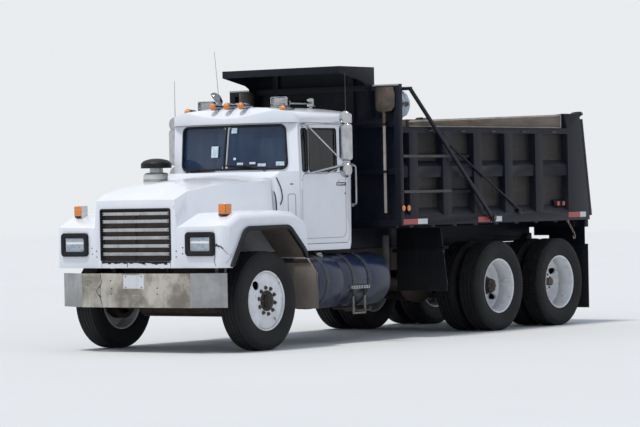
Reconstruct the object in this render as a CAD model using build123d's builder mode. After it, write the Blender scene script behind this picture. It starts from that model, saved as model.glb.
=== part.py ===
# Tandem-axle conventional dump truck at its real size, in millimetres.
# +X points forward, +Y to the left and +Z up. The origin is on the ground, under the middle of the outline.
from build123d import *
from math import cos, radians, sin
import os

os.makedirs("parts", exist_ok=True)

# Wheels and axles
front_axle_x = 2880
first_drive_x = front_axle_x - 4495
tandem_spacing = 1370
second_drive_x = first_drive_x - tandem_spacing
tandem_x = (first_drive_x + second_drive_x) / 2
axle_z = 535
tyre_radius = 535
bead_radius = 312
flange_radius = 324
barrel_inner = 299
rim_half = 115
front_wheel_y = 1010
outer_wheel_y = 1085
inner_wheel_y = 750
kingpin_y = 790
spindle_radius = 40
drive_spindle_radius = 48
running_gap = 0.3
stub_end = 1075
drum_radius = 205
hand_hole_reach = 268
hand_hole_radius = 27

# Frame
frame_half = 432
rail_flange = 89
rail_wall = 10
frame_bottom = 757
frame_top = 1027
frame_front_x = front_axle_x + 720
frame_rear_x = front_axle_x - 6440

# Bumper and hood
bumper_front_x = 3750
bumper_wall = 10
bumper_bottom = 489
bumper_top = 856
fascia_x = front_axle_x + 830
fascia_bottom = 912
hood_rear_x = front_axle_x - 620
hood_wall = 15
fender_y = 1180
hood_pivot = (front_axle_x + 792, 925)

# Cab
cab_rear_x = front_axle_x - 2010
cab_bottom = 1045
belt_z = 1900
gutter_z = 2470
cab_wall = 45
door_gap = 6
door_front_x = front_axle_x - 985
door_rear_x = front_axle_x - 1895
door_bottom = 1122
door_top = 2450
door_corner = 56
pillar_x = front_axle_x - 955
glass_thickness = 8

# Load body
bed_front_x = front_axle_x - 2440
bed_half = 1219
sheet_y = 1130
sheet_wall = 12
bed_bottom = 1287
floor_top = 1357
rail_top = 2420
bulkhead_top = 2907
canopy_half = 836
canopy_top = 3111
canopy_front_x = front_axle_x - 1815
bed_hinge = (front_axle_x - 6340, 1090)
sill_y = 400
sill_half = 40

# Slope of the rear posts and the tailgate, from the top down to the floor
post_top_x = front_axle_x - 6370
post_top_z = 2600
post_foot_x = front_axle_x - 6557
post_foot_z = 1404

# Hoist, from the pin in the frame up to the eye in the recess of the front wall
hoist_foot = (front_axle_x - 2230, 800)
hoist_eye = (front_axle_x - 2230, 2200)


def block(x, y, z, mode=Mode.ADD):
    with Locations(((x[0] + x[1]) / 2, (y[0] + y[1]) / 2, (z[0] + z[1]) / 2)):
        Box(abs(x[1] - x[0]), abs(y[1] - y[0]), abs(z[1] - z[0]), mode=mode)


def outline_face(plane, points, radius=0):
    with BuildSketch(plane) as face:
        with BuildLine():
            Polyline(*points, close=True)
        make_face()
        if radius:
            fillet(face.vertices(), radius)
    return face.sketch


def side_prism(points, y, radius=0, mode=Mode.ADD):
    extrude(outline_face(Plane.XZ.offset(-y[1]), points, radius), amount=y[1] - y[0], mode=mode)


def plan_prism(points, z, radius=0, mode=Mode.ADD):
    extrude(outline_face(Plane.XY.offset(z[0]), points, radius), amount=z[1] - z[0], mode=mode)


def front_prism(points, x, radius=0, mode=Mode.ADD):
    extrude(outline_face(Plane.YZ.offset(x[0]), points, radius), amount=x[1] - x[0], mode=mode)


def rod(start, end, radius, mode=Mode.ADD):
    axis = Vector(*end) - Vector(*start)
    with BuildSketch(Plane(origin=start, z_dir=axis)) as disc:
        Circle(radius)
    extrude(disc.sketch, amount=axis.length, mode=mode)


def ring_y(x, z, y, outer, inner=0, mode=Mode.ADD):
    with BuildSketch(Plane.XZ.offset(-y[1])) as disc:
        with Locations((x, z)):
            Circle(outer)
            if inner:
                Circle(inner, mode=Mode.SUBTRACT)
    extrude(disc.sketch, amount=y[1] - y[0], mode=mode)


def turned(x, points, mode=Mode.ADD):
    # points are (y, radius), turned about the axle
    with BuildSketch(Plane.YZ.offset(x)) as profile:
        with BuildLine():
            Polyline(*[(y, axle_z + r) for y, r in points], close=True)
        make_face()
    revolve(profile.sketch, axis=Axis((x, 0, axle_z), (0, 1, 0)), mode=mode)


def arc_corner(centre, radius, start, sweep):
    # three points of an arc, from its start angle through its sweep
    angles = [radians(start + sweep * step) for step in (0, 0.5, 1)]
    return [(centre[0] + radius * cos(angle), centre[1] + radius * sin(angle)) for angle in angles]


def save(piece, name):
    piece.part.label = name
    export_step(piece.part, f"parts/{name}.step")


sides = (("left", 1), ("right", -1))

# Tyre section: distance from the wheel's centre plane, radius
tyre_section = [(-100, bead_radius), (-138, 410), (-138, 450), (-108, tyre_radius)]
tyre_section += [(-y, r) for y, r in reversed(tyre_section)]
barrel_section = [(-rim_half, flange_radius), (-107, flange_radius), (-100, bead_radius)]
barrel_section += [(-y, r) for y, r in reversed(barrel_section)]
barrel_section += [(rim_half, barrel_inner), (-rim_half, barrel_inner)]


def wheel_disc(side, centre, root, face, wall=12):
    # dished disc from the barrel at root to the flat at face, both measured from the wheel's centre
    lean = wall if face > 0 else -wall
    return [
        (side * (centre + root), barrel_inner),
        (side * (centre + root - lean), barrel_inner),
        (side * (centre + face - lean), 235),
        (side * (centre + face - lean), 100),
        (side * (centre + face), 100),
        (side * (centre + face), 240),
    ]


def shifted(section, centre, side=1):
    return [(side * (centre + y), r) for y, r in section]


def hand_hole(axle_x, turn, y):
    hole_x = axle_x + hand_hole_reach * cos(radians(turn))
    hole_z = axle_z + hand_hole_reach * sin(radians(turn))
    ring_y(hole_x, hole_z, y, hand_hole_radius, mode=Mode.SUBTRACT)


# Front wheels: tyre, then rim with its disc, hub and brake drum
for name, side in sides:
    with BuildPart() as tyre:
        turned(front_axle_x, shifted(tyre_section, front_wheel_y, side))
    save(tyre, f"tyre_front_{name}")

    with BuildPart() as rim:
        turned(front_axle_x, shifted(barrel_section, front_wheel_y, side))
        turned(front_axle_x, wheel_disc(side, front_wheel_y, 96, 112))
        hub = [(880, 62), (880, 105), (1130, 105), (1130, 85), (1165, 70), (1165, 0), (1085, 0)]
        hub += [(1085, spindle_radius + running_gap), (880, spindle_radius + running_gap)]
        turned(front_axle_x, [(side * y, r) for y, r in hub])
        drum = [(872, 150), (872, drum_radius), (975, drum_radius), (975, 100), (960, 100)]
        drum += [(960, 190), (885, 190), (885, 150)]
        turned(front_axle_x, [(side * y, r) for y, r in drum])
        hand_hole(front_axle_x, 45, sorted((side * 1000, side * 1180)))
    save(rim, f"rim_front_{name}")

# Drive wheels: twin tyres, then both rims with hub and drum
for axle_name, axle_x, first_hole in (("first", first_drive_x, 213), ("second", second_drive_x, 150)):
    for name, side in sides:
        with BuildPart() as tyres:
            for centre in (inner_wheel_y, outer_wheel_y):
                turned(axle_x, shifted(tyre_section, centre, side))
        save(tyres, f"tyres_{axle_name}_{name}")

        with BuildPart() as rims:
            for centre, face in ((inner_wheel_y, 167), (outer_wheel_y, -167)):
                turned(axle_x, shifted(barrel_section, centre, side))
                turned(axle_x, wheel_disc(side, centre, 96 if face > 0 else -96, face))
            hub = [(650, 58), (650, 110), (1010, 110), (1010, 95), (1100, 80), (1115, 60), (1115, 0)]
            hub += [(stub_end + 10, 0), (stub_end + 10, drive_spindle_radius + running_gap)]
            hub.append((650, drive_spindle_radius + running_gap))
            turned(axle_x, [(side * y, r) for y, r in hub])
            drum = [(640, 165), (640, drum_radius), (860, drum_radius), (860, 100), (845, 100)]
            drum += [(845, 190), (655, 190), (655, 165)]
            turned(axle_x, [(side * y, r) for y, r in drum])
            for turn in (first_hole, first_hole + 180):
                hand_hole(axle_x, turn, sorted((side * 820, side * 1010)))
        save(rims, f"rims_{axle_name}_{name}")

# Ladder frame: two channel rails
with BuildPart() as frame:
    channel = [
        (frame_half, frame_bottom),
        (frame_half, frame_top),
        (frame_half - rail_flange, frame_top),
        (frame_half - rail_flange, frame_top - rail_wall),
        (frame_half - rail_wall, frame_top - rail_wall),
        (frame_half - rail_wall, frame_bottom + rail_wall),
        (frame_half - rail_flange, frame_bottom + rail_wall),
        (frame_half - rail_flange, frame_bottom),
    ]
    front_prism(channel, (frame_rear_x, frame_front_x))
    mirror(about=Plane.XZ)
save(frame, "frame")

# Crossmembers, pressed as channels. Columns: behind the front axle, depth, low, high
crossmember_places = (
    (-620, 90, 770, 1010),
    (1850, 80, 830, 1010),
    (2700, 80, 790, 1010),
    (3700, 80, 770, 1010),
    (4830, 80, 770, 1010),
    (5530, 80, 770, 1010),
    (6360, 80, 768, 1016),
)
rail_inside = frame_half - rail_wall
with BuildPart() as crossmembers:
    for behind, depth, low, high in crossmember_places:
        rear_x = front_axle_x - behind - depth / 2
        front_x = rear_x + depth
        pressing = [
            (rear_x, low),
            (front_x, low),
            (front_x, low + rail_wall),
            (rear_x + rail_wall, low + rail_wall),
            (rear_x + rail_wall, high - rail_wall),
            (front_x, high - rail_wall),
            (front_x, high),
            (rear_x, high),
        ]
        side_prism(pressing, (-rail_inside, rail_inside))
    # hoist crossmember under the rails, with the pin between two cheeks
    hoist_x, hoist_z = hoist_foot
    block((hoist_x - 150, hoist_x + 150), (-frame_half, frame_half), (722, 742))
    for y in (-1, 1):
        block((hoist_x - 150, hoist_x + 150), (y * 345, y * frame_half), (742, frame_bottom))
        cheek = [(hoist_x - 110, 742), (hoist_x + 110, 742), (hoist_x + 55, 860), (hoist_x - 55, 860)]
        side_prism(cheek, sorted((y * 135, y * 150)))
    rod((hoist_x, -150, hoist_z), (hoist_x, 150, hoist_z), 30)
save(crossmembers, "crossmembers")

# Brackets bolted to the rails: bed hinges with their pins, bumper horns with the hood's hinge, drawplate
with BuildPart() as frame_brackets:
    hinge_x, hinge_z = bed_hinge
    pivot_x, pivot_z = hood_pivot
    horn_top = bumper_top - 14
    for y in (-1, 1):
        bracket = [
            (hinge_x - 70, 900),
            (hinge_x + 130, 900),
            (hinge_x + 130, 1010),
            (hinge_x + 40, 1130),
            (hinge_x - 40, 1130),
        ]
        side_prism(bracket, sorted((y * 448, y * 478)))
        block((hinge_x - 70, hinge_x + 130), (y * frame_half, y * 448), (900, 1010))
        rod((hinge_x, y * 345, hinge_z), (hinge_x, y * 478, hinge_z), 30)
        # horn that carries the bumper, with the stand of the hood's hinge on it
        horn = [
            (frame_front_x, frame_bottom - 120),
            (bumper_front_x - bumper_wall, frame_bottom - 120),
            (bumper_front_x - bumper_wall, horn_top),
            (frame_front_x, horn_top),
        ]
        side_prism(horn, sorted((y * 340, y * frame_half)))
        stand = [
            (frame_front_x, horn_top),
            (frame_front_x + 35, horn_top),
            (frame_front_x + 35, pivot_z - 15),
            (pivot_x, pivot_z - 15),
            (pivot_x, pivot_z + 15),
            (frame_front_x, pivot_z + 15),
        ]
        side_prism(stand, sorted((y * 360, y * 376)))
        ring_y(pivot_x, pivot_z, sorted((y * 360, y * 376)), 15)
        rod((pivot_x, y * 330, pivot_z), (pivot_x, y * 376, pivot_z), 12)
    # drawplate for a pintle hook, on the last crossmember
    plate_x = frame_rear_x
    block((plate_x - 12, plate_x + 40), (-110, 110), (790, 990))
    for y in (-43, 43):
        for z in (868, 912):
            rod((plate_x - 20, y, z), (plate_x + 45, y, z), 7, mode=Mode.SUBTRACT)
save(frame_brackets, "frame_brackets")

# Front axle: dropped I beam, kingpin bosses and a leaf spring on each side
with BuildPart() as front_axle:
    beam_end = [(-560, 455), (-680, 562), (-740, 578), (-kingpin_y, 578), (-kingpin_y, 492), (-730, 492)]
    beam_end += [(-680, 470), (-560, 360)]
    beam = beam_end + [(-y, z) for y, z in reversed(beam_end)]
    front_prism(beam, (front_axle_x - 22, front_axle_x + 22))
    for low in (0, 77):
        flange = [(-545, 360 + low), (-545, 378 + low), (545, 378 + low), (545, 360 + low)]
        front_prism(flange, (front_axle_x - 55, front_axle_x + 55))
    for y in (-kingpin_y, kingpin_y):
        rod((front_axle_x, y, 490), (front_axle_x, y, 580), 42)
        rod((front_axle_x, y, 430), (front_axle_x, y, 640), 20)
    for y in (-1, 1):
        half_spring = [(700, 600), (350, 555), (0, 540), (-350, 555), (-700, 600), (-700, 586), (-640, 575)]
        half_spring += [(-640, 562), (-520, 542), (-520, 530), (-380, 512), (-380, 498), (0, 484), (380, 498)]
        half_spring += [(380, 512), (520, 530), (520, 542), (640, 562), (640, 575), (700, 586)]
        spring = [(front_axle_x + x, z) for x, z in half_spring]
        side_prism(spring, sorted((y * 355, y * 445)))
        block((front_axle_x - 90, front_axle_x + 90), (y * 350, y * 450), (455, 500))
        block((front_axle_x - 90, front_axle_x + 90), (y * 350, y * 450), (535, 560))
        for end in (-1, 1):
            x = front_axle_x + end * 690
            block((x - 30, x + 30), (y * 355, y * 445), (575, 640))
            block((x - 25, x + 25), (y * 385, y * 415), (600, frame_bottom))
save(front_axle, "front_axle")

# Steering knuckles: clevis over the beam's end, spindle and steering arm
arm_reach = 170
for name, side in sides:
    with BuildPart() as knuckle:
        y = side * kingpin_y
        for low, high in ((440, 488), (582, 630)):
            rod((front_axle_x, y, low), (front_axle_x, y, high), 50)
        block((front_axle_x - 45, front_axle_x + 45), (side * 838, side * 864), (440, 630))
        for low, high in ((440, 488), (582, 630)):
            block((front_axle_x - 45, front_axle_x + 45), (side * kingpin_y, side * 845), (low, high))
        rod((front_axle_x, side * 860, axle_z), (front_axle_x, side * stub_end, axle_z), spindle_radius)
        # steering arm, back to the tie rod's ball
        arm = [
            (front_axle_x, side * 765),
            (front_axle_x - arm_reach - 25, side * 700),
            (front_axle_x - arm_reach - 25, side * 750),
            (front_axle_x, side * 830),
        ]
        plan_prism(arm, (440, 470))
        rod((front_axle_x, y, 420), (front_axle_x, y, 650), 20 + running_gap, mode=Mode.SUBTRACT)
    save(knuckle, f"knuckle_{name}")

tie_ball = (front_axle_x - arm_reach, 725)
with BuildPart() as tie_rod:
    x, y = tie_ball
    rod((x, -y, 400), (x, y, 400), 20)
    for end in (-y, y):
        rod((x, end, 380), (x, end, 434), 26)
save(tie_rod, "tie_rod")

# Drive axles with their bowls, the gearbox and the propeller shafts
with BuildPart() as driveline:
    for axle_x in (first_drive_x, second_drive_x):
        rod((axle_x, -625, axle_z), (axle_x, 625, axle_z), 72)
        rod((axle_x, -stub_end, axle_z), (axle_x, stub_end, axle_z), drive_spindle_radius)
        with Locations((axle_x, 0, axle_z)):
            Sphere(205)
        rod((axle_x + 60, 0, axle_z + 30), (axle_x + 330, 0, axle_z + 70), 95)
        for y in (-1, 1):
            block((axle_x - 75, axle_x + 75), (y * 455, y * 545), (axle_z - 80, axle_z + 60))
    rod((first_drive_x + 330, 0, 605), (front_axle_x - 1600, 0, 670), 50)
    rod((second_drive_x + 320, 0, 605), (first_drive_x - 100, 0, 590), 50)
    rod((front_axle_x - 1380, 0, 680), (front_axle_x - 1640, 0, 680), 90)
    block((front_axle_x - 1400, front_axle_x - 600), (-200, 200), (560, 900))
save(driveline, "driveline")

# Walking beams on a trunnion, with their hangers
with BuildPart() as suspension:
    for y in (-1, 1):
        beam = [
            (first_drive_x + 90, 385),
            (first_drive_x + 90, 455),
            (first_drive_x - 150, 455),
            (tandem_x + 130, 480),
            (tandem_x - 130, 480),
            (second_drive_x + 150, 455),
            (second_drive_x - 90, 455),
            (second_drive_x - 90, 385),
            (tandem_x - 130, 330),
            (tandem_x + 130, 330),
        ]
        side_prism(beam, sorted((y * 465, y * 535)))
        hanger = [(tandem_x - 90, 480), (tandem_x + 90, 480), (tandem_x + 220, 900), (tandem_x - 220, 900)]
        side_prism(hanger, sorted((y * frame_half, y * 520)))
        for low in (500, 560, 620):
            half = 420 - (low - 500)
            block((tandem_x - half, tandem_x + half), (y * 520, y * 590), (low, low + 45))
    rod((tandem_x, -520, 405), (tandem_x, 520, 405), 55)
save(suspension, "rear_suspension")

# Engine as one plain block, with the radiator ahead of it
with BuildPart() as engine:
    block((front_axle_x - 600, front_axle_x + 480), (-310, 310), (640, 1500))
    block((front_axle_x - 500, front_axle_x + 300), (-170, 170), (1500, 1580))
    rod((front_axle_x + 480, 0, 1250), (front_axle_x + 560, 0, 1250), 60)
    rod((front_axle_x + 540, 0, 1250), (front_axle_x + 560, 0, 1250), 330)
    block((front_axle_x + 590, front_axle_x + 690), (-430, 430), (frame_top, 1560))
    block((front_axle_x + 575, front_axle_x + 705), (-330, 330), (1012, 1090))
    block((front_axle_x + 575, front_axle_x + 705), (-430, 430), (1520, 1590))
save(engine, "engine")

# Bumper: one bent plate with swept ends
with BuildPart() as bumper:
    fold = (bumper_front_x - 12, 750)
    tip = (bumper_front_x - 170, 1140)
    skin = [(bumper_front_x, 0), (bumper_front_x, 690), fold, tip]
    inner = [(x - bumper_wall, y - 2) for x, y in skin[1:]]
    plan = skin + list(reversed(inner)) + [(bumper_front_x - bumper_wall, 0)]
    plan_prism(plan, (bumper_bottom, bumper_top))
    # returned flanges along the top and bottom
    flange = skin[:3] + [(fold[0] - 50, 735), (bumper_front_x - 55, 0)]
    for low in (bumper_bottom, bumper_top - bumper_wall):
        plan_prism(flange, (low, low + bumper_wall))
    mirror(about=Plane.XZ)
save(bumper, "bumper")

# Fuel tank with its straps; step boxes, tank step and air tank in their own node
tank_y, tank_z, tank_radius = 770, 695, 300
tank_front_x = front_axle_x - 1030
tank_rear_x = front_axle_x - 2440
with BuildPart() as fuel_tank:
    rod((tank_rear_x, tank_y, tank_z), (tank_front_x, tank_y, tank_z), tank_radius)
    fillet(fuel_tank.edges().filter_by(GeomType.CIRCLE), 25)
    rod((tank_front_x - 300, tank_y + 60, tank_z + 255), (tank_front_x - 300, tank_y + 90, tank_z + 305), 45)
save(fuel_tank, "fuel_tank")

with BuildPart() as side_boxes:
    for x in (front_axle_x - 1200, front_axle_x - 1700, front_axle_x - 2000):
        with BuildSketch(Plane.YZ.offset(x - 30)) as band:
            with Locations((tank_y, tank_z)):
                Circle(tank_radius + 6)
                Circle(tank_radius, mode=Mode.SUBTRACT)
        extrude(band.sketch, amount=60)
        block((x - 30, x + 30), (frame_half, tank_y - tank_radius - 2), (tank_z - 60, frame_top - 30))
    # step hung from two of the straps, and the box ahead of the tank
    for x in (front_axle_x - 1700, front_axle_x - 2000):
        block((x - 15, x + 15), (tank_y, 1075), (365, 391))
    block((front_axle_x - 2010, front_axle_x - 1690), (930, 1080), (347, 365))
    block((tank_front_x + 30, tank_front_x + 110), (frame_half, 1060), (440, 720))
    # battery and tool box with steps on the right, air tank behind it
    block((front_axle_x - 1750, front_axle_x - 1050), (-1060, -frame_half), (480, 900))
    block((front_axle_x - 1740, front_axle_x - 1060), (-1100, -1060), (470, 500))
    block((front_axle_x - 1740, front_axle_x - 1060), (-1100, -1060), (690, 720))
    rod((front_axle_x - 2400, -700, 760), (front_axle_x - 3100, -700, 760), 150)
    for x in (front_axle_x - 2500, front_axle_x - 3000):
        block((x - 25, x + 25), (-570, -frame_half), (740, 900))
    # upright behind the tank, down which the hoist's hose runs
    rod((tank_rear_x - 90, 930, 730), (tank_rear_x - 90, 930, 1180), 38)
    block((tank_rear_x - 120, tank_rear_x - 60), (frame_half, 940), (900, 950))
save(side_boxes, "tank_straps_and_boxes")


# Cab. Each outline is (height, half width) and the sides lean in above the belt.
cab_levels = ((cab_bottom, 875), (belt_z, 885), (gutter_z, 864))
rear_corner = 110


def cab_shell_section(height, half, wall):
    # U-shaped outline of both sides and the back, open at the front
    back, front, inner = cab_rear_x, pillar_x, half - wall
    centre_x, centre_y = back + rear_corner, half - rear_corner
    near = rear_corner - wall
    with BuildSketch(Plane.XY.offset(height)) as section:
        with BuildLine():
            Line((front, half), (centre_x, half))
            ThreePointArc(*arc_corner((centre_x, centre_y), rear_corner, 90, 90))
            Line((back, centre_y), (back, -centre_y))
            ThreePointArc(*arc_corner((centre_x, -centre_y), rear_corner, 180, 90))
            Polyline((centre_x, -half), (front, -half), (front, -inner), (centre_x, -inner))
            ThreePointArc(*arc_corner((centre_x, -centre_y), near, 270, -90))
            Line((back + wall, -centre_y), (back + wall, centre_y))
            ThreePointArc(*arc_corner((centre_x, centre_y), near, 180, -90))
            Polyline((centre_x, inner), (front, inner), (front, half))
        make_face()
    return section.sketch


def door_outline(grow):
    front, rear = door_front_x + grow, door_rear_x - grow
    low, high = door_bottom - grow, door_top + grow
    return [(front, low), (front, high), (rear, high), (rear, low)]


def back_window(inset, x):
    half, low, high = 420 - inset, 1990 + inset, 2330 - inset
    return [(-half, low), (half, low), (half, high), (-half, high)], x, 60 - inset


with BuildPart() as cab_shell:
    loft([cab_shell_section(height, half, cab_wall) for height, half in cab_levels], ruled=True)
    side_prism(door_outline(door_gap), (-1000, 1000), door_corner + door_gap, Mode.SUBTRACT)
    # back window and the rounded lower rear corners
    front_prism(*back_window(0, (cab_rear_x - 50, cab_rear_x + 100)), Mode.SUBTRACT)
    low = cab_bottom - 10
    cut = [(cab_rear_x - 10, low), (cab_rear_x + 110, low), (cab_rear_x - 10, low + 180)]
    side_prism(cut, (-1000, 1000), mode=Mode.SUBTRACT)
save(cab_shell, "cab_shell")

with BuildPart() as cab_floor:
    floor_half = cab_levels[0][1] - cab_wall
    block((cab_rear_x + 115, pillar_x - 2), (-floor_half, floor_half), (cab_bottom, cab_bottom + 40))
    for y in (-1, 1):
        block((cab_rear_x + 250, pillar_x - 60), (y * 380, y * 430), (frame_top, cab_bottom))
save(cab_floor, "cab_floor")

# Cowl ahead of the doors, dash wall and the frame of the two-piece windscreen
screen_foot = [(front_axle_x - 735, 0), (front_axle_x - 945, 790)]
screen_head = [(front_axle_x - 815, 0), (front_axle_x - 945, 770)]
pillar_foot, pillar_head = (pillar_x, 885), (pillar_x, 864)


def mirrored(points):
    return points + [(x, -y) for x, y in reversed(points) if y]


def pane_section(height, line, setback, depth):
    front = [(x - setback, y) for x, y in line]
    rear = [(x - setback - depth, y) for x, y in reversed(line)]
    return outline_face(Plane.XY.offset(height), mirrored(front + rear))


def screen_section(height, line, pillar):
    left = [line[0], line[1], pillar, (pillar_x, 812), (pillar_x - 20, line[1][1] - 10), (line[0][0] - 40, 0)]
    return outline_face(Plane.XY.offset(height), mirrored(left))


with BuildPart() as cab_front:
    cowl_front = [(front_axle_x - 640, 0), (front_axle_x - 660, 720), (front_axle_x - 690, 770)]
    cowl_front.append((pillar_x, 885))
    cowl_rear = [(pillar_x, 830), (front_axle_x - 725, 715), (front_axle_x - 700, 0)]
    plan_prism(mirrored(cowl_front + cowl_rear), (cab_bottom, 1930))
    plan_prism(mirrored(cowl_front + [(pillar_x, 830), (pillar_x + 40, 0)]), (1890, 1930))
    slope = [(front_axle_x - 600, 1800), (front_axle_x - 600, 1940), (front_axle_x - 735, 1940)]
    side_prism(slope, (-900, 900), mode=Mode.SUBTRACT)
    frame_foot = screen_section(1930, screen_foot, pillar_foot)
    loft([frame_foot, screen_section(gutter_z, screen_head, pillar_head)], ruled=True)
    for y in (-1, 1):
        pane = [(y * 22, 1965), (y * 740, 1965), (y * 715, 2440), (y * 22, 2440)]
        front_prism(pane, (front_axle_x - 1100, front_axle_x - 600), 45, Mode.SUBTRACT)
save(cab_front, "cab_front")

with BuildPart() as cab_glass:
    low_edge = pane_section(1930, screen_foot, 14, glass_thickness)
    loft([low_edge, pane_section(gutter_z, screen_head, 14, glass_thickness)], ruled=True)
    with BuildSketch(Plane.YZ.offset(front_axle_x - 1100)) as openings:
        for y in (-1, 1):
            with BuildLine():
                Polyline((y * 23, 1966), (y * 739, 1966), (y * 714, 2439), (y * 23, 2439), close=True)
            make_face()
        fillet(openings.vertices(), 44)
    extrude(openings.sketch, amount=600, mode=Mode.INTERSECT)
    front_prism(*back_window(1, (cab_rear_x + 15, cab_rear_x + 23)))
save(cab_glass, "cab_glass")

# Roof: crowned across, curved over the screen, hollow underneath


def roof_form(wall):
    half = cab_levels[2][1] + 18 - wall
    low, shoulder, crown = gutter_z, gutter_z + 120 - wall / 2, gutter_z + 190 - wall
    front = front_axle_x - 790 - wall
    corner = front_axle_x - 945 - wall
    rear = cab_rear_x - 15 + wall
    with BuildSketch(Plane.YZ.offset(rear)) as across:
        with BuildLine():
            Polyline((-half, low + 45), (-half, low), (half, low), (half, low + 45))
            ThreePointArc((half, low + 45), (half - 26, low + 95), (half - 90, shoulder))
            ThreePointArc((half - 90, shoulder), (0, crown), (-half + 90, shoulder))
            ThreePointArc((-half + 90, shoulder), (-half + 26, low + 95), (-half, low + 45))
        make_face()
    extrude(across.sketch, amount=front - rear)
    with BuildSketch(Plane.XY.offset(low)) as plan:
        with BuildLine():
            ThreePointArc((corner, half), (front, 0), (corner, -half))
            Polyline((corner, -half), (rear, -half), (rear, half), (corner, half))
        make_face()
        fillet(plan.vertices(), 70)
    extrude(plan.sketch, amount=300, mode=Mode.INTERSECT)
    with BuildSketch(Plane.XZ.offset(-half)) as along:
        with BuildLine():
            Polyline((rear, low), (front, low), (front, low + 60))
            ThreePointArc((front, low + 60), (front - 55, low + 125), (front - 260, crown + 5))
            Line((front - 260, crown + 5), (rear + 120, crown + 5))
            ThreePointArc((rear + 120, crown + 5), (rear + 30, low + 140), (rear, low + 50))
            Line((rear, low + 50), (rear, low))
        make_face()
    extrude(along.sketch, amount=2 * half, mode=Mode.INTERSECT)


with BuildPart() as roof_void:
    roof_form(32)
with BuildPart() as roof_form_outer:
    roof_form(0)
with BuildPart() as cab_roof:
    add(roof_form_outer.part)
    with Locations((0, 0, 10)):
        add(roof_void.part, mode=Mode.SUBTRACT)
    opening = [(front_axle_x - 880, 0), (front_axle_x - 1000, 790), (cab_rear_x + 70, 790)]
    opening.append((cab_rear_x + 70, 0))
    plan_prism(mirrored(opening), (gutter_z - 5, gutter_z + 15), mode=Mode.SUBTRACT)
save(cab_roof, "cab_roof")

# Seats, dashboard, steering wheel
with BuildPart() as cab_interior:
    for y in (-420, 420):
        x = front_axle_x - 1500
        block((x - 250, x + 250), (y - 240, y + 240), (1330, 1450))
        back_rest = [(x - 250, 1430), (x - 120, 1430), (x - 200, 2080), (x - 310, 2080)]
        side_prism(back_rest, (y - 240, y + 240))
        block((x - 180, x + 180), (y - 150, y + 150), (cab_bottom + 40, 1330))
    profile = [(-742, 1560), (-742, 1850), (-1000, 1880), (-1050, 1840), (-1050, 1640), (-930, 1560)]
    side_prism([(front_axle_x + x, z) for x, z in profile], (-690, 690))
    centre = (front_axle_x - 1180, 420, 1790)
    foot = (front_axle_x - 1000, 420, 1640)
    rod(foot, centre, 30)
    with BuildSketch(Plane(origin=centre, z_dir=Vector(*centre) - Vector(*foot))) as rim_disc:
        Circle(225)
        Circle(200, mode=Mode.SUBTRACT)
        Rectangle(420, 40)
        Circle(45)
    extrude(rim_disc.sketch, amount=24)
save(cab_interior, "cab_interior")

# Five roof lamps: an amber lens and a bullet behind it. Columns: behind the front axle, across, height
lamp_places = ((958, 674, 2622), (815, 199, 2668), (812, 0, 2670), (815, -199, 2668), (958, -674, 2622))
with BuildPart() as roof_lamps:
    for behind, y, z in lamp_places:
        x = front_axle_x - behind
        bullet = [(40, 0), (28, 30), (0, 42), (-100, 33), (-180, 18), (-230, 0)]
        bullet_face = outline_face(Plane((x, y, z), x_dir=(1, 0, 0), z_dir=(0, -1, 0)), bullet)
        revolve(bullet_face, axis=Axis((x, y, z), (1, 0, 0)))
        block((x - 150, x - 20), (y - 14, y + 14), (z - 95, z - 15))
    add(roof_form_outer.part, mode=Mode.SUBTRACT)
save(roof_lamps, "roof_lamps")

# Air horns, spot lamp and whip aerials on the roof
with BuildPart() as roof_fittings:
    x, length = front_axle_x - 1200, 600
    for y, z in ((426, 2709), (-616, 2690)):
        with BuildSketch(Plane.YZ.offset(x)) as mouth:
            with Locations((y, z)):
                Rectangle(215, 120)
        with BuildSketch(Plane.YZ.offset(x - 170)) as throat:
            with Locations((y, z)):
                Rectangle(90, 60)
        loft([mouth.sketch, throat.sketch], ruled=True)
        rod((x - 165, y, z), (x - length, y, z), 20)
        block((x - length - 60, x - length), (y - 45, y + 45), (z - 45, z + 45))
        for foot_x in (x - 120, x - length - 30):
            block((foot_x - 20, foot_x + 20), (y - 15, y + 15), (2500, z - 20))
    # spot lamp, tipped up and outwards
    lamp_x, lamp_y, lamp_z = front_axle_x - 1230, -420, 2800
    tip = Vector(0.35, -0.72, 0.6)
    rod((lamp_x, lamp_y, lamp_z), (lamp_x + 70 * tip.X, lamp_y + 70 * tip.Y, lamp_z + 70 * tip.Z), 92)
    rod((lamp_x, lamp_y, 2500), (lamp_x, lamp_y, lamp_z + 20), 14)
    rod((front_axle_x - 1500, -620, 2500), (front_axle_x - 1420, -640, 3330), 4)
    add(roof_form_outer.part, mode=Mode.SUBTRACT)
save(roof_fittings, "roof_fittings")

# Air cleaner: canister beside the cowl with its mushroom cap
cleaner_x, cleaner_y = front_axle_x - 785, -1010
with BuildPart() as air_cleaner:
    rod((cleaner_x, cleaner_y, 1520), (cleaner_x, cleaner_y, 1950), 150)
    rod((cleaner_x, cleaner_y, 1950), (cleaner_x, cleaner_y, 2000), 75)
    cap_profile = [(0, 2000), (176, 2000), (176, 2052), (150, 2084), (80, 2106), (0, 2110)]
    cap_face = outline_face(Plane((cleaner_x, cleaner_y, 0), x_dir=(0, 1, 0), z_dir=(1, 0, 0)), cap_profile)
    revolve(cap_face, axis=Axis((cleaner_x, cleaner_y, 0), (0, 0, 1)))
    rod((cleaner_x - 60, cleaner_y, 1150), (cleaner_x - 60, cleaner_y, 1525), 70)
    rod((cleaner_x - 60, cleaner_y, 1230), (cleaner_x - 60, -806, 1230), 64)
    add(cab_front.part, mode=Mode.SUBTRACT)
save(air_cleaner, "air_cleaner")

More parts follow.
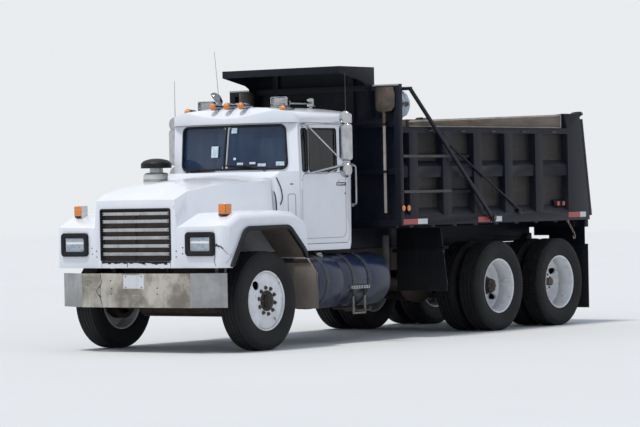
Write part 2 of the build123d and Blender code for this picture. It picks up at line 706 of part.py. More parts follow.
# Exhaust: muffler and stack between cab and load body
stack_x, stack_y = front_axle_x - 2200, -780
with BuildPart() as exhaust:
    rod((stack_x, stack_y, 1180), (stack_x, stack_y, 2250), 115)
    rod((stack_x, stack_y, 2240), (stack_x, stack_y, 2865), 88)
    rod((stack_x, stack_y, 860), (stack_x, stack_y, 1190), 60)
    rod((stack_x, stack_y, 900), (stack_x, -frame_half, 900), 55)
save(exhaust, "exhaust_stack")

# Mud flaps with their hanger bars. Columns: behind the front axle, inner and outer y, low, high, hanger, curl
flap_places = (
    (900, 620, 1150, 412, 985, 940, 0),
    (3400, 485, 1212, 512, 1252, 985, 34),
    (6520, 610, 1217, 190, 985, 960, 0),
)
with BuildPart() as mud_flaps:
    for behind, inner_y, outer_y, low, high, hanger, curl in flap_places:
        x = front_axle_x - behind
        flap = [
            (x - 6, high),
            (x + 6, high),
            (x + 6, low + 80),
            (x + 6 + curl, low + 4),
            (x - 6 + curl, low),
            (x - 6, low + 76),
        ]
        for y in (-1, 1):
            side_prism(flap, sorted((y * inner_y, y * outer_y)))
            block((x - 22, x + 22), (y * frame_half, y * (outer_y - 40)), (hanger - 22, hanger + 22))
            if x < frame_rear_x:
                arm = (y * frame_half, y * (frame_half + 14))
                block((x, frame_rear_x + 25), arm, (hanger - 22, hanger + 22))
save(mud_flaps, "mud_flaps")


# Hood and both front fenders in one moulding, open underneath.
# Columns: x, half width of the crease, its height, height of the crown
hood_stations = (
    (front_axle_x + 840, 540, 1635, 1640),
    (front_axle_x + 635, 570, 1730, 1750),
    (front_axle_x + 256, 616, 1787, 1830),
    (hood_rear_x, 740, 1835, 1900),
)
# Fender top seen from the side. Columns: x, height
fender_stations = (
    (front_axle_x + 840, 1336),
    (front_axle_x + 500, 1490),
    (front_axle_x - 150, 1507),
    (front_axle_x - 450, 1490),
    (front_axle_x - 660, 1400),
    (front_axle_x - 680, 1250),
)


def crown_section(x, half, crease, crown, wall, low):
    half, crease, crown = half - wall, crease - wall, crown - wall
    with BuildSketch(Plane.YZ.offset(x)) as section:
        with BuildLine():
            Polyline((-half, crease), (-half - 40, low), (half + 40, low), (half, crease))
            ThreePointArc((half, crease), (0, crown), (-half, crease))
        make_face()
    return section.sketch


def fender_section(x, top, wall, low):
    half, corner = fender_y - wall, 80 - wall
    left = arc_corner((half - corner, top - wall - corner), corner, 0, 90)
    right = [(-y, z) for y, z in reversed(left)]
    with BuildSketch(Plane.YZ.offset(x)) as section:
        with BuildLine():
            ThreePointArc(*left)
            Line(left[2], right[0])
            ThreePointArc(*right)
            Polyline(right[2], (-half, low), (half, low), left[0])
        make_face()
    return section.sketch


def hood_form(wall, low):
    # the inside stops a wall short of the front and of the fenders' rear ends
    loft([crown_section(*station, wall, 1200) for station in hood_stations], ruled=True)
    rear = [wall if x < hood_rear_x else 0 for x, top in fender_stations]
    loft([fender_section(x + r, top, wall, low) for (x, top), r in zip(fender_stations, rear)], ruled=True)
    corner = [(front_axle_x + x, y) for x, y in ((800, 1060), (766, 1142), (685, 1180))]
    corner = [(x - wall, y - wall) for x, y in corner]
    with BuildSketch(Plane.XY.offset(600)) as plan:
        with BuildLine():
            Polyline(
                (front_axle_x - 700, fender_y - wall),
                (front_axle_x - 700, 0),
                (fascia_x - wall, 0),
                (fascia_x - wall, 560 - wall),
                (front_axle_x + 810 - wall, 660 - wall),
                corner[0],
            )
            ThreePointArc(*corner)
            Line(corner[2], (front_axle_x - 700, fender_y - wall))
        make_face()
        mirror(about=Plane.XZ)
    extrude(plan.sketch, amount=1500, mode=Mode.INTERSECT)


wheel_arch = [(660, 700), (660, 920), (415, 1300), (-330, 1305), (-600, 1050), (-635, 976), (-635, 700)]
wheel_arch = [(front_axle_x + x, z) for x, z in wheel_arch]
arch_corner = 120

with BuildPart() as hood_inside:
    hood_form(hood_wall, 600)
with BuildPart() as hood_outside:
    hood_form(0, fascia_bottom)
with BuildPart() as hood:
    add(hood_outside.part)
    add(hood_inside.part, mode=Mode.SUBTRACT)
    # the hood's back edge stops ahead of the cowl, between the fenders' tails
    block((front_axle_x - 800, hood_rear_x), (-800, 800), (800, 2000), mode=Mode.SUBTRACT)
    block((front_axle_x - 800, front_axle_x - 600), (-1300, 1300), (800, 976), mode=Mode.SUBTRACT)
    side_prism(wheel_arch, (-1300, -900), arch_corner, Mode.SUBTRACT)
    side_prism(wheel_arch, (900, 1300), arch_corner, Mode.SUBTRACT)
    # openings for the grille and the headlamps
    block((front_axle_x + 780, front_axle_x + 900), (-478, 478), (996, 1541), mode=Mode.SUBTRACT)
    pivot_x, pivot_z = hood_pivot
    for y in (-1, 1):
        block((front_axle_x + 740, front_axle_x + 900), (y * 690, y * 1060), (1050, 1280), mode=Mode.SUBTRACT)
        block((pivot_x - 18, fascia_x - 5), (y * 337, y * 353), (pivot_z - 18, pivot_z + 25))
        rod((pivot_x, y * 320, pivot_z), (pivot_x, y * 360, pivot_z), 12 + running_gap, mode=Mode.SUBTRACT)
save(hood, "hood")

# Grille: bright surround and six bars with bevelled faces. Heights are those of the bars' middles
grille_half, grille_low, grille_high = 490, 984, 1553
bar_heights = (1498, 1414, 1322, 1237, 1150, 1064)
with BuildPart() as grille:
    for inset, corner, mode in ((0, 26, Mode.ADD), (19, 12, Mode.SUBTRACT)):
        surround = [
            (-grille_half + inset, grille_low + inset),
            (grille_half - inset, grille_low + inset),
            (grille_half - inset, grille_high - inset),
            (-grille_half + inset, grille_high - inset),
        ]
        front_prism(surround, (fascia_x, fascia_x + 12), corner, mode)
    for z in bar_heights:
        bar = [
            (fascia_x - 12, z - 18),
            (fascia_x + 3, z - 18),
            (fascia_x + 8, z - 12),
            (fascia_x + 8, z + 12),
            (fascia_x + 3, z + 18),
            (fascia_x - 12, z + 18),
        ]
        side_prism(bar, (-476, 476))
save(grille, "grille")

# Black parts of the hood: core behind the grille, with its slats, and the headlamp bezels
with BuildPart() as hood_trim:
    block((fascia_x - 27, fascia_x - 15), (-485, 485), (990, 1547))
    for y in (-1, 1):
        bezel = [(812, 676), (802, 1066), (830, 1062), (838, 676)]
        plan_prism([(front_axle_x + x, y * across) for x, across in bezel], (1035, 1295))
        block((front_axle_x + 780, front_axle_x + 860), (y * 735, y * 1003), (1093, 1243), mode=Mode.SUBTRACT)
        add(hood_outside.part, mode=Mode.SUBTRACT)
save(hood_trim, "hood_trim")

# Rubber flares round the wheel arches: the arch's own outline, 45 wider, less the arch
with BuildPart() as arch_flares:
    flare = [(706, 700), (706, 920), (440, 1345), (-350, 1350), (-645, 1070), (-672, 976), (-672, 700)]
    flare = [(front_axle_x + x, z) for x, z in flare]
    for y in (-1, 1):
        band = sorted((y * fender_y, y * (fender_y + 28)))
        side_prism(flare, band, arch_corner + 40)
        side_prism(wheel_arch, band, arch_corner, Mode.SUBTRACT)
        block((front_axle_x, front_axle_x + 800), band, (600, 920), mode=Mode.SUBTRACT)
        block((front_axle_x - 800, front_axle_x), band, (600, 976), mode=Mode.SUBTRACT)
save(arch_flares, "arch_flares")

# Headlamps and turn lamps
with BuildPart() as hood_lamps:
    for y in (-1, 1):
        block((front_axle_x + 760, front_axle_x + 800), (y * 692, y * 1058), (1052, 1278))
        block((front_axle_x + 795, front_axle_x + 822), (y * 738, y * 1000), (1096, 1240))
        block((front_axle_x + 490, front_axle_x + 600), (y * 950, y * 1058), (1440, 1590))
    add(hood_outside.part, mode=Mode.SUBTRACT)
    for y in (-1, 1):
        block((front_axle_x + 760, front_axle_x + 800), (y * 692, y * 1058), (1052, 1278))
        block((front_axle_x + 795, front_axle_x + 822), (y * 738, y * 1000), (1096, 1240))
save(hood_lamps, "hood_lamps")


# Doors: slabs that follow the cab's sides, with their glass and mirrors
def side_slab(side, outer, inner):
    sections = []
    for height, half in cab_levels:
        near, far = side * (half - inner), side * (half - outer)
        outline = [(front_axle_x - 2000, near), (front_axle_x - 900, near), (front_axle_x - 900, far)]
        outline.append((front_axle_x - 2000, far))
        sections.append(outline_face(Plane.XY.offset(height), outline))
    loft(sections, ruled=True)


def pane_outlines(inset):
    vent = [(-1020 - inset, 1925 + inset), (-1120 + inset, 1925 + inset)]
    vent += [(-1120 + inset, 2400 - inset), (-1020 - inset, 2400 - inset)]
    main = [(-1150 - inset, 1925 + inset), (-1665 + inset, 1925 + inset)]
    main += [(-1680 + inset, 2400 - inset), (-1150 - inset, 2400 - inset)]
    return [[(front_axle_x + x, z) for x, z in pane] for pane in (vent, main)]


for name, side in sides:
    beyond = sorted((side * 700, side * 1000))
    with BuildPart() as door:
        side_slab(side, 0, cab_wall)
        side_prism(door_outline(0), beyond, door_corner, Mode.INTERSECT)
        for pane in pane_outlines(0):
            side_prism(pane, beyond, radius=25, mode=Mode.SUBTRACT)
        handle_x = front_axle_x - 1760
        block((handle_x - 70, handle_x + 70), (side * 880, side * 905), (1800, 1822))
    save(door, f"door_{name}")

    with BuildPart() as panes:
        side_slab(side, 18, 18 + glass_thickness)
        with BuildSketch(Plane.XZ.offset(-beyond[1])) as window:
            for pane in pane_outlines(1):
                with BuildLine():
                    Polyline(*pane, close=True)
                make_face()
            fillet(window.vertices(), 24)
        extrude(window.sketch, amount=300, mode=Mode.INTERSECT)
    save(panes, f"door_glass_{name}")

    with BuildPart() as mirror_set:
        x, y = front_axle_x - 1376, side * 1213
        block((x - 30, x + 20), (y - 80, y + 80), (2030, 2450))
        rod((x - 10, y, 2508), (x + 25, y, 2508), 80)
        rod((x - 10, y, 1930), (x + 25, y, 1930), 85)
        rod((x - 3, y, 1880), (x - 3, y, 2560), 10)
        rod((front_axle_x - 1040, side * 850, 2428), (x - 3, y, 2466), 12)
        block((front_axle_x - 1420, front_axle_x - 1050), (side * 930, side * 950), (1890, 1912))
        for end in (-1060, -1410):
            block((front_axle_x + end - 10, front_axle_x + end + 10), (side * 870, side * 935), (1891, 1911))
            rod((front_axle_x + end, side * 940, 1902), (x - 3, y, 1995), 11)
        rod((x - 20, y, 2440), (x - 20, y, 3012), 4)
        add(door.part, mode=Mode.SUBTRACT)
    save(mirror_set, f"mirrors_{name}")


# Load body. rear_line gives the x of the posts' sloping rear face at a height.
post_slope = (post_top_x - post_foot_x) / (post_top_z - post_foot_z)


def rear_line(height, back=0):
    return post_top_x + (height - post_top_z) * post_slope - back


def cut_rear():
    low, high, reach = 1000, 2900, 900
    slant = [(rear_line(low), low), (rear_line(high), high)]
    slant += [(rear_line(high, reach), high), (rear_line(low, reach), low)]
    side_prism(slant, (-1400, 1400), mode=Mode.SUBTRACT)


recess_half, recess_wall, recess_sheet = 200, 12, 14
recess_top, recess_foot = (bed_front_x - 60, 2350), (front_axle_x - 2700, 1290)
hinge_x, hinge_z = bed_hinge

with BuildPart() as bed_floor:
    inside = sheet_y - sheet_wall
    block((rear_line(floor_top) - 20, bed_front_x - 60), (-inside, inside), (floor_top - 12, floor_top))
    for behind in (2800, 3250, 3700, 4150, 4600, 5050, 5500, 5950):
        block((front_axle_x - behind - 40, front_axle_x - behind + 40), (-1105, 1105), (1265, floor_top - 12))
    block((front_axle_x - 6500, front_axle_x - 6370), (-1105, 1105), (1200, floor_top - 12))
    block((front_axle_x - 2540, front_axle_x - 2500), (-1105, 1105), (1265, floor_top - 12))
    for y in (-1, 1):
        with BuildSketch(Plane.XZ.offset(-(y * sill_y + sill_half))) as sill:
            with BuildLine():
                lead, end = front_axle_x - 2500, hinge_z - 1035
                Polyline((lead, 1265), (lead, 1035), (hinge_x, 1035))
                ThreePointArc(*arc_corner(bed_hinge, end, 270, -90))
                Polyline((hinge_x - end, hinge_z), (hinge_x - end, 1265), (lead, 1265))
            make_face()
        extrude(sill.sketch, amount=2 * sill_half)
    rod((hinge_x, -500, hinge_z), (hinge_x, 500, hinge_z), 30 + running_gap, mode=Mode.SUBTRACT)
    notch_half = recess_half + recess_wall
    notch_x = recess_foot[0] - recess_sheet
    block((notch_x, bed_front_x), (-notch_half, notch_half), (1200, 1400), mode=Mode.SUBTRACT)
    cut_rear()
save(bed_floor, "bed_floor")

rib_places = (2710, 3394, 4048, 4721, 5407)
with BuildPart() as bed_sides:
    front_x = bed_front_x - 60
    for y in (-1, 1):
        skin = (y * (sheet_y - sheet_wall), y * sheet_y)
        block((rear_line(bed_bottom) - 50, front_x), skin, (bed_bottom, rail_top))
        bottom_rail = [(sheet_y, bed_bottom), (bed_half, bed_bottom), (bed_half, 1400), (sheet_y, 1490)]
        middle_rail = [(sheet_y, 1840), (1200, 1840), (1200, 1965), (sheet_y, 2030)]
        top_rail = [(sheet_y, 2350), (bed_half, 2350), (bed_half, rail_top), (sheet_y, rail_top)]
        for rail in (bottom_rail, middle_rail, top_rail):
            front_prism([(y * across, z) for across, z in rail], (rear_line(bed_bottom) - 50, front_x))
        for low, high in ((2064, 2115), (1651, 1702)):
            small_rail = [(y * sheet_y, low), (y * 1175, low), (y * 1175, high - 20), (y * sheet_y, high)]
            front_prism(small_rail, (front_axle_x - 4048, front_axle_x - 2710))
        for behind in rib_places:
            x = front_axle_x - behind
            block((x - 85, x + 85), (y * sheet_y, y * bed_half), (1390, rail_top))
        post_x = front_axle_x - 6075
        post = [(post_x, bed_bottom), (post_x, rail_top), (post_x + 75, post_top_z)]
        post += [(rear_line(post_top_z), post_top_z), (rear_line(bed_bottom), bed_bottom)]
        side_prism(post, sorted((y * sheet_y, y * bed_half)))
    cut_rear()
    # lugs for the tailgate's pins, at the tops of the posts
    gate_pin_z = 2600
    gate_pin_x = rear_line(gate_pin_z) - 36
    for y in (-1, 1):
        lug = [(90, post_top_z), (90, 2560), (30, 2560), (-26, 2590), (-26, 2618), (0, 2630), (60, 2625)]
        side_prism([(gate_pin_x + x, z) for x, z in lug], sorted((y * 1155, y * bed_half)))
        rod((gate_pin_x, y * 1080, gate_pin_z), (gate_pin_x, y * 1160, gate_pin_z), 14)
        # fixed spring bar of the sheet's bow
        foot, head = (front_axle_x - 4940, y * 1232, 1430), (front_axle_x - 3450, y * 1232, 2200)
        rod(foot, head, 12)
        block((foot[0] - 40, foot[0] + 40), (y * sheet_y, y * 1232), (1380, 1445))
        # pin for the bow's arm
        rod((front_axle_x - 4290, y * sheet_y, 1350), (front_axle_x - 4290, y * 1290, 1350), 18)
save(bed_sides, "bed_sides")

# Front wall with its posts, the hoist's recess and lugs, and the guard over the cab
with BuildPart() as bulkhead:
    back, front = bed_front_x - 60, bed_front_x - 48
    block((back, front), (-bed_half, bed_half), (bed_bottom, bulkhead_top))
    block((back, front), (-canopy_half, canopy_half), (bulkhead_top, canopy_top))
    for y in (-1, 1):
        block((front, bed_front_x), (y * 1140, y * bed_half), (bed_bottom, bulkhead_top))
        block((front, bed_front_x), (y * 500, y * 580), (bed_bottom, canopy_top))
        gusset = [(-1820, 3030), (-2235, 2950), (-2310, 2915), (-2460, 2550), (-2500, 2550)]
        gusset += [(-2500, canopy_top), (-1820, canopy_top)]
        gusset = [(front_axle_x + x, z) for x, z in gusset]
        side_prism(gusset, sorted((y * (canopy_half - 12), y * canopy_half)))
    block((front, bed_front_x), (-bed_half, bed_half), (2837, bulkhead_top))
    for low in (1880, 2420):
        block((front, bed_front_x), (-bed_half, bed_half), (low, low + 60))
    block((front, bed_front_x), (-bed_half, bed_half), (bed_bottom, bed_bottom + 60))
    block((back, canopy_front_x), (-canopy_half, canopy_half), (canopy_top - 12, canopy_top))
    block((canopy_front_x - 14, canopy_front_x), (-canopy_half, canopy_half), (3030, canopy_top))
    # recess for the hoist: opening, sloping wall and two cheeks
    block((back - 5, bed_front_x + 5), (-recess_half, recess_half), (1200, recess_top[1]), mode=Mode.SUBTRACT)
    top_x, top_z = recess_top
    foot_x = recess_foot[0]
    floor_low = floor_top - 12
    slope_wall = [
        (top_x, top_z),
        (top_x, top_z + recess_sheet),
        (foot_x - recess_sheet, floor_top + 8),
        (foot_x - recess_sheet, floor_low),
        (foot_x, floor_low),
    ]
    side_prism(slope_wall, (-recess_half - recess_wall, recess_half + recess_wall))
    for y in (-1, 1):
        cheek = [(top_x, floor_low), (top_x, top_z + recess_sheet), (foot_x - recess_sheet, floor_low)]
        side_prism(cheek, sorted((y * recess_half, y * (recess_half + recess_wall))))
        eye_x, eye_z = hoist_eye
        lug = [
            (eye_x + 45, eye_z - 40),
            (eye_x + 45, eye_z + 50),
            (bed_front_x, 2560),
            (front, 2560),
            (front, 2360),
            (eye_x - 50, eye_z - 40),
        ]
        side_prism(lug, sorted((y * 78, y * 98)))
        rod((eye_x, y * 70, eye_z), (eye_x, y * 110, eye_z), 30, mode=Mode.SUBTRACT)
save(bulkhead, "bulkhead")

with BuildPart() as sideboards:
    board = [(-2680, rail_top), (-2680, 2494), (-5820, 2586), (-5995, 2600), (-5995, rail_top)]
    board = [(front_axle_x + x, z) for x, z in board]
    for y in (-1, 1):
        side_prism(board, sorted((y * 1140, y * 1180)))
save(sideboards, "sideboards")

roll_x, roll_z, roll_radius = front_axle_x - 2614, 2680, 110
with BuildPart() as sheet_roll:
    rod((roll_x, -1195, roll_z), (roll_x, 1195, roll_z), roll_radius)
    rod((roll_x, -1215, roll_z), (roll_x, 1215, roll_z), 25)
    for y in (-1, 1):
        block((roll_x - 30, bed_front_x - 60), (y * 1200, y * 1212), (roll_z - 40, roll_z + 40))
save(sheet_roll, "sheet_roll")

with BuildPart() as body_lamps:
    for y in (-1, 1):
        for behind in (2480, 2585):
            rod((front_axle_x - behind, y * 1219, 1490), (front_axle_x - behind, y * 1238, 1490), 38)
        pod = [(y * sheet_y, 1452), (y * 1180, 1466), (y * 1180, 1526), (y * sheet_y, 1548)]
        front_prism(pod, (front_axle_x - 6066, front_axle_x - 5818))
        for behind in (5878, 6004):
            rod((front_axle_x - behind, y * 1180, 1496), (front_axle_x - behind, y * 1205, 1496), 36)
    add(bed_sides.part, mode=Mode.SUBTRACT)
    add(bulkhead.part, mode=Mode.SUBTRACT)
save(body_lamps, "body_lamps")

# Shovel in two clips on the front wall, blade upwards
shovel_x, shovel_y = bed_front_x + 34, 1028
with BuildPart() as shovel:
    rod((shovel_x, shovel_y, 1440), (shovel_x, shovel_y, 2640), 17)
    blade = [(-118, 2876), (-136, 2800), (-132, 2650), (-100, 2604), (0, 2588), (100, 2604), (132, 2650)]
    blade += [(136, 2800), (118, 2876)]
    with BuildSketch(Plane.XY.offset(2560)) as dish:
        with BuildLine():
            ThreePointArc((shovel_x - 26, -140), (shovel_x + 17, 0), (shovel_x - 26, 140))
            Line((shovel_x - 26, 140), (shovel_x - 30, 140))
            ThreePointArc((shovel_x - 30, 140), (shovel_x + 13, 0), (shovel_x - 30, -140))
            Line((shovel_x - 30, -140), (shovel_x - 26, -140))
        make_face()
    with BuildPart(mode=Mode.PRIVATE) as plate:
        extrude(dish.sketch, amount=360)
        front_prism(blade, (shovel_x - 60, shovel_x + 60), mode=Mode.INTERSECT)
    with Locations((0, shovel_y, 0)):
        add(plate.part)
    for low in (1895, 2435):
        block((bed_front_x, shovel_x + 24), (shovel_y - 27, shovel_y + 27), (low, low + 30))
save(shovel, "shovel")

# Tailgate hung from its top pins, behind the posts: a sheet with a framework of ribs on its outside
gate_gap, gate_depth, gate_sheet = 6, 56.2, 10
gate_low, gate_high = 1335, 2530


def gate_outline(low, high, near, far):
    # sloping quadrangle between two heights, near and far measured back from the posts' rear face
    return [
        (rear_line(low, near), low),
        (rear_line(high, near), high),
        (rear_line(high, near) - (far - near), high + (far - near) * post_slope),
        (rear_line(low, near) - (far - near), low + (far - near) * post_slope),
    ]


with BuildPart() as tailgate:
    side_prism(gate_outline(gate_low, gate_high, gate_gap, gate_gap + gate_depth), (-bed_half, bed_half))
    for low, high in ((gate_low + 60, 1900), (1960, gate_high - 70)):
        pocket = gate_outline(low, high, gate_gap + gate_sheet, gate_gap + gate_depth + 10)
        for near, far in ((-1160, -420), (-360, 360), (420, 1160)):
            side_prism(pocket, (near, far), mode=Mode.SUBTRACT)
    for y in (-1, 1):
        arm = [(-28, 0), (-18, 24), (20, 18), (24, 0)]
        arm = [(gate_pin_x + x, gate_pin_z + z) for x, z in arm]
        arm += [(rear_line(2500, gate_gap), 2500), (rear_line(2500, gate_gap + 50), 2500)]
        side_prism(arm, sorted((y * 1085, y * 1145)))
        pin = [(gate_pin_x, y * across, gate_pin_z) for across in (1000, 1170)]
        rod(*pin, 14 + running_gap, mode=Mode.SUBTRACT)
save(tailgate, "tailgate")

# Bow that draws the sheet: an arm on each side and the crossbar between them
with BuildPart() as sheet_bow:
    pivot = (front_axle_x - 4290, 1350)
    for y in (-1, 1):
        arm = [(-4325, 1330), (-4255, 1330), (-2580, 2832), (-2612, 2860)]
        side_prism([(front_axle_x + x, z) for x, z in arm], sorted((y * 1257, y * 1282)))
        ring_y(pivot[0], pivot[1], sorted((y * 1257, y * 1282)), 48)
        ring_y(*pivot, sorted((y * 1200, y * 1300)), 18 + running_gap, mode=Mode.SUBTRACT)
    rod((front_axle_x - 2600, -1282, 2855), (front_axle_x - 2600, 1282, 2855), 20)
save(sheet_bow, "sheet_bow")

# Hoist: barrel on the frame's pin and three stages, one inside the other
foot_x, foot_z = hoist_foot


def stage(low, high, outer, inner=0):
    with BuildSketch(Plane.XY.offset(foot_z + low)) as tube:
        with Locations((foot_x, 0)):
            Circle(outer)
            if inner:
                Circle(inner, mode=Mode.SUBTRACT)
    extrude(tube.sketch, amount=high - low)


with BuildPart() as hoist_barrel:
    stage(50, 1290, 110, 97)
    stage(50, 68, 110)
    ring_y(foot_x, foot_z, (-125, 125), 50, 30 + running_gap)
    block((foot_x - 40, foot_x + 40), (-100, 100), (foot_z + 40, foot_z + 55))
    rod((foot_x, -130, foot_z), (foot_x, 130, foot_z), 30 + running_gap, mode=Mode.SUBTRACT)
save(hoist_barrel, "hoist_barrel")

with BuildPart() as first_stage:
    stage(72, 1304, 96, 82)
save(first_stage, "hoist_stage_1")

with BuildPart() as second_stage:
    stage(76, 1318, 81, 66)
save(second_stage, "hoist_stage_2")

with BuildPart() as hoist_rod:
    stage(80, 1335, 65)
    ring_y(foot_x, foot_z + 1400, (-50, 50), 50)
    block((foot_x - 30, foot_x + 30), (-50, 50), (foot_z + 1330, foot_z + 1390))
    rod((foot_x, -72, foot_z + 1400), (foot_x, 72, foot_z + 1400), 28)
save(hoist_rod, "hoist_rod")
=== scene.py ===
import math
import random

import bmesh
import bpy
from mathutils import Matrix, Vector, noise


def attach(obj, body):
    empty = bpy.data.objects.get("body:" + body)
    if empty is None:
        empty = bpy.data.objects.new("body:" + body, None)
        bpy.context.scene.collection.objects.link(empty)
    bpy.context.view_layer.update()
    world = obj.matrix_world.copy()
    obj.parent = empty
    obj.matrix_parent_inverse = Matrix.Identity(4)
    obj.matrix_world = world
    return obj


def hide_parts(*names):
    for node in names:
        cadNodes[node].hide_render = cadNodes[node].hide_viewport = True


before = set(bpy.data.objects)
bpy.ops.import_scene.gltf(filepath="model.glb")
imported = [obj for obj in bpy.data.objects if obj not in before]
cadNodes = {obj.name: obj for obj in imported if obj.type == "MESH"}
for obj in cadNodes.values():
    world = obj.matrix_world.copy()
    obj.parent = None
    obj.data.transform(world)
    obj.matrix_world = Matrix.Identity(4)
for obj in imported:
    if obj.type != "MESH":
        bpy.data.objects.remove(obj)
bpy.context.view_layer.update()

random.seed(7)

frontAxleX = 2.88      # every "back" below is measured behind the front axle
firstDriveX = frontAxleX - 4.495
secondDriveX = firstDriveX - 1.37
axleZ = 0.535

cameraSet = {
    "place": (28.922, 20.885, 1.694),
    "heading": 36.156,      # degrees the view is turned from straight ahead of the truck
    "down": 0.407,
    "roll": -1.103,
    "lens": 171.08,
}


def makeCamera(values):
    heading, down, roll = (math.radians(values[key]) for key in ("heading", "down", "roll"))
    level = -math.cos(down)
    forward = Vector((math.cos(heading) * level, math.sin(heading) * level, -math.sin(down)))
    right = forward.cross(Vector((0, 0, 1))).normalized()
    up = right.cross(forward)
    across = math.cos(roll) * right + math.sin(roll) * up
    upright = -math.sin(roll) * right + math.cos(roll) * up
    camera = bpy.data.objects.new("camera", bpy.data.cameras.new("camera"))
    aim = Matrix((across, upright, -forward)).transposed().to_4x4()
    camera.matrix_world = Matrix.Translation(values["place"]) @ aim
    camera.data.lens = values["lens"]
    camera.data.sensor_width = 36
    camera.data.clip_end = 300
    bpy.context.scene.collection.objects.link(camera)
    bpy.context.scene.camera = camera


makeCamera(cameraSet)
bpy.context.scene.view_settings.view_transform = "Standard"
print("camera placed")


class Wire:
    # a socket that can be added, multiplied and so on
    def __init__(self, sheet, socket):
        self.sheet = sheet
        self.socket = socket

    def join(self, operation, first, second):
        return self.sheet.node("ShaderNodeMath", {"operation": operation}, {0: first, 1: second})

    def __add__(self, other):
        return self.join("ADD", self, other)

    def __sub__(self, other):
        return self.join("SUBTRACT", self, other)

    def __rsub__(self, other):
        return self.join("SUBTRACT", other, self)

    def __mul__(self, other):
        return self.join("MULTIPLY", self, other)

    __radd__, __rmul__ = __add__, __mul__

    def above(self, low, high):
        # 0 under low, 1 over high, smooth between them
        kind = {"interpolation_type": "SMOOTHSTEP", "clamp": True}
        return self.sheet.node("ShaderNodeMapRange", kind, {0: self, 1: low, 2: high, 3: 0.0, 4: 1.0})

    def held(self):
        return self.sheet.node("ShaderNodeMath", {"operation": "ADD", "use_clamp": True}, {0: self, 1: 0.0})

    def wave(self):
        return self.sheet.node("ShaderNodeMath", {"operation": "SINE"}, {0: self})


class Sheet:
    # the nodes of one material
    def __init__(self, name):
        self.material = bpy.data.materials.new(name)
        self.material.use_nodes = True
        self.tree = self.material.node_tree
        self.tree.nodes.clear()
        self.place = self.node("ShaderNodeTexCoord", {}, {}, "Object")
        self.normal = self.node("ShaderNodeTexCoord", {}, {}, "Normal")

    def node(self, kind, settings, sockets, output=0):
        made = self.tree.nodes.new(kind)
        for key, value in settings.items():
            setattr(made, key, value)
        for key, value in sockets.items():
            if isinstance(value, Wire):
                self.tree.links.new(value.socket, made.inputs[key])
            elif isinstance(value, tuple) and made.inputs[key].type == "RGBA":
                made.inputs[key].default_value = (*value, 1)
            else:
                made.inputs[key].default_value = value
        return Wire(self, made.outputs[output]) if made.outputs else made

    def blend(self, amount, first, second):
        return self.node("ShaderNodeMix", {"data_type": "RGBA"}, {0: amount, 6: first, 7: second}, 2)

    def stretched(self, scale):
        return self.node("ShaderNodeMapping", {}, {0: self.place, 3: scale})

    def cloud(self, size, detail=4.0, where=None, rough=0.6):
        # size is the width of one patch, in metres
        sockets = {0: where or self.place, 2: 1 / size, 3: detail, 4: rough}
        return self.node("ShaderNodeTexNoise", {}, sockets)

    def cells(self, size, where=None):
        return self.node("ShaderNodeTexVoronoi", {}, {0: where or self.place, 2: 1 / size}, "Distance")

    def axis(self, name, vector=None):
        return self.node("ShaderNodeSeparateXYZ", {}, {0: vector or self.place}, name)

    def mark(self, name):
        return self.node("ShaderNodeAttribute", {"attribute_name": name}, {}, "Fac")

    def bump(self, height, depth, strength=1.0):
        return self.node("ShaderNodeBump", {}, {"Strength": strength, "Distance": depth, "Height": height})

    def finish(self, sockets):
        shader = self.node("ShaderNodeBsdfPrincipled", {}, sockets)
        self.node("ShaderNodeOutputMaterial", {}, {0: shader})
        return self.material


# What weather and work have done to a finish. Each finish below changes some of these.
plainWear = {
    "patch": (0.6,),        # width of the broad patches of its second colour
    "rough": (0.45, 0.2),       # roughness, and how far it changes
    "metal": (0.0,),
    "coat": (0.0,),
    "gloss": (0.5,),
    "grain": (0.006, 0.0006),       # width and depth
    "dust": (0.35, (0.3, 0.26, 0.21), 1.3, 0.2),       # low down, colour, its top, on faces that look up
    "streaks": (0.2, (0.16, 0.14, 0.12)),
    "rust": (0.0,),
    "edge": (0.3, (0.32, 0.31, 0.3)),      # bare metal along edges
    "scuffs": (0.0, (0.3, 0.28, 0.26)),
}


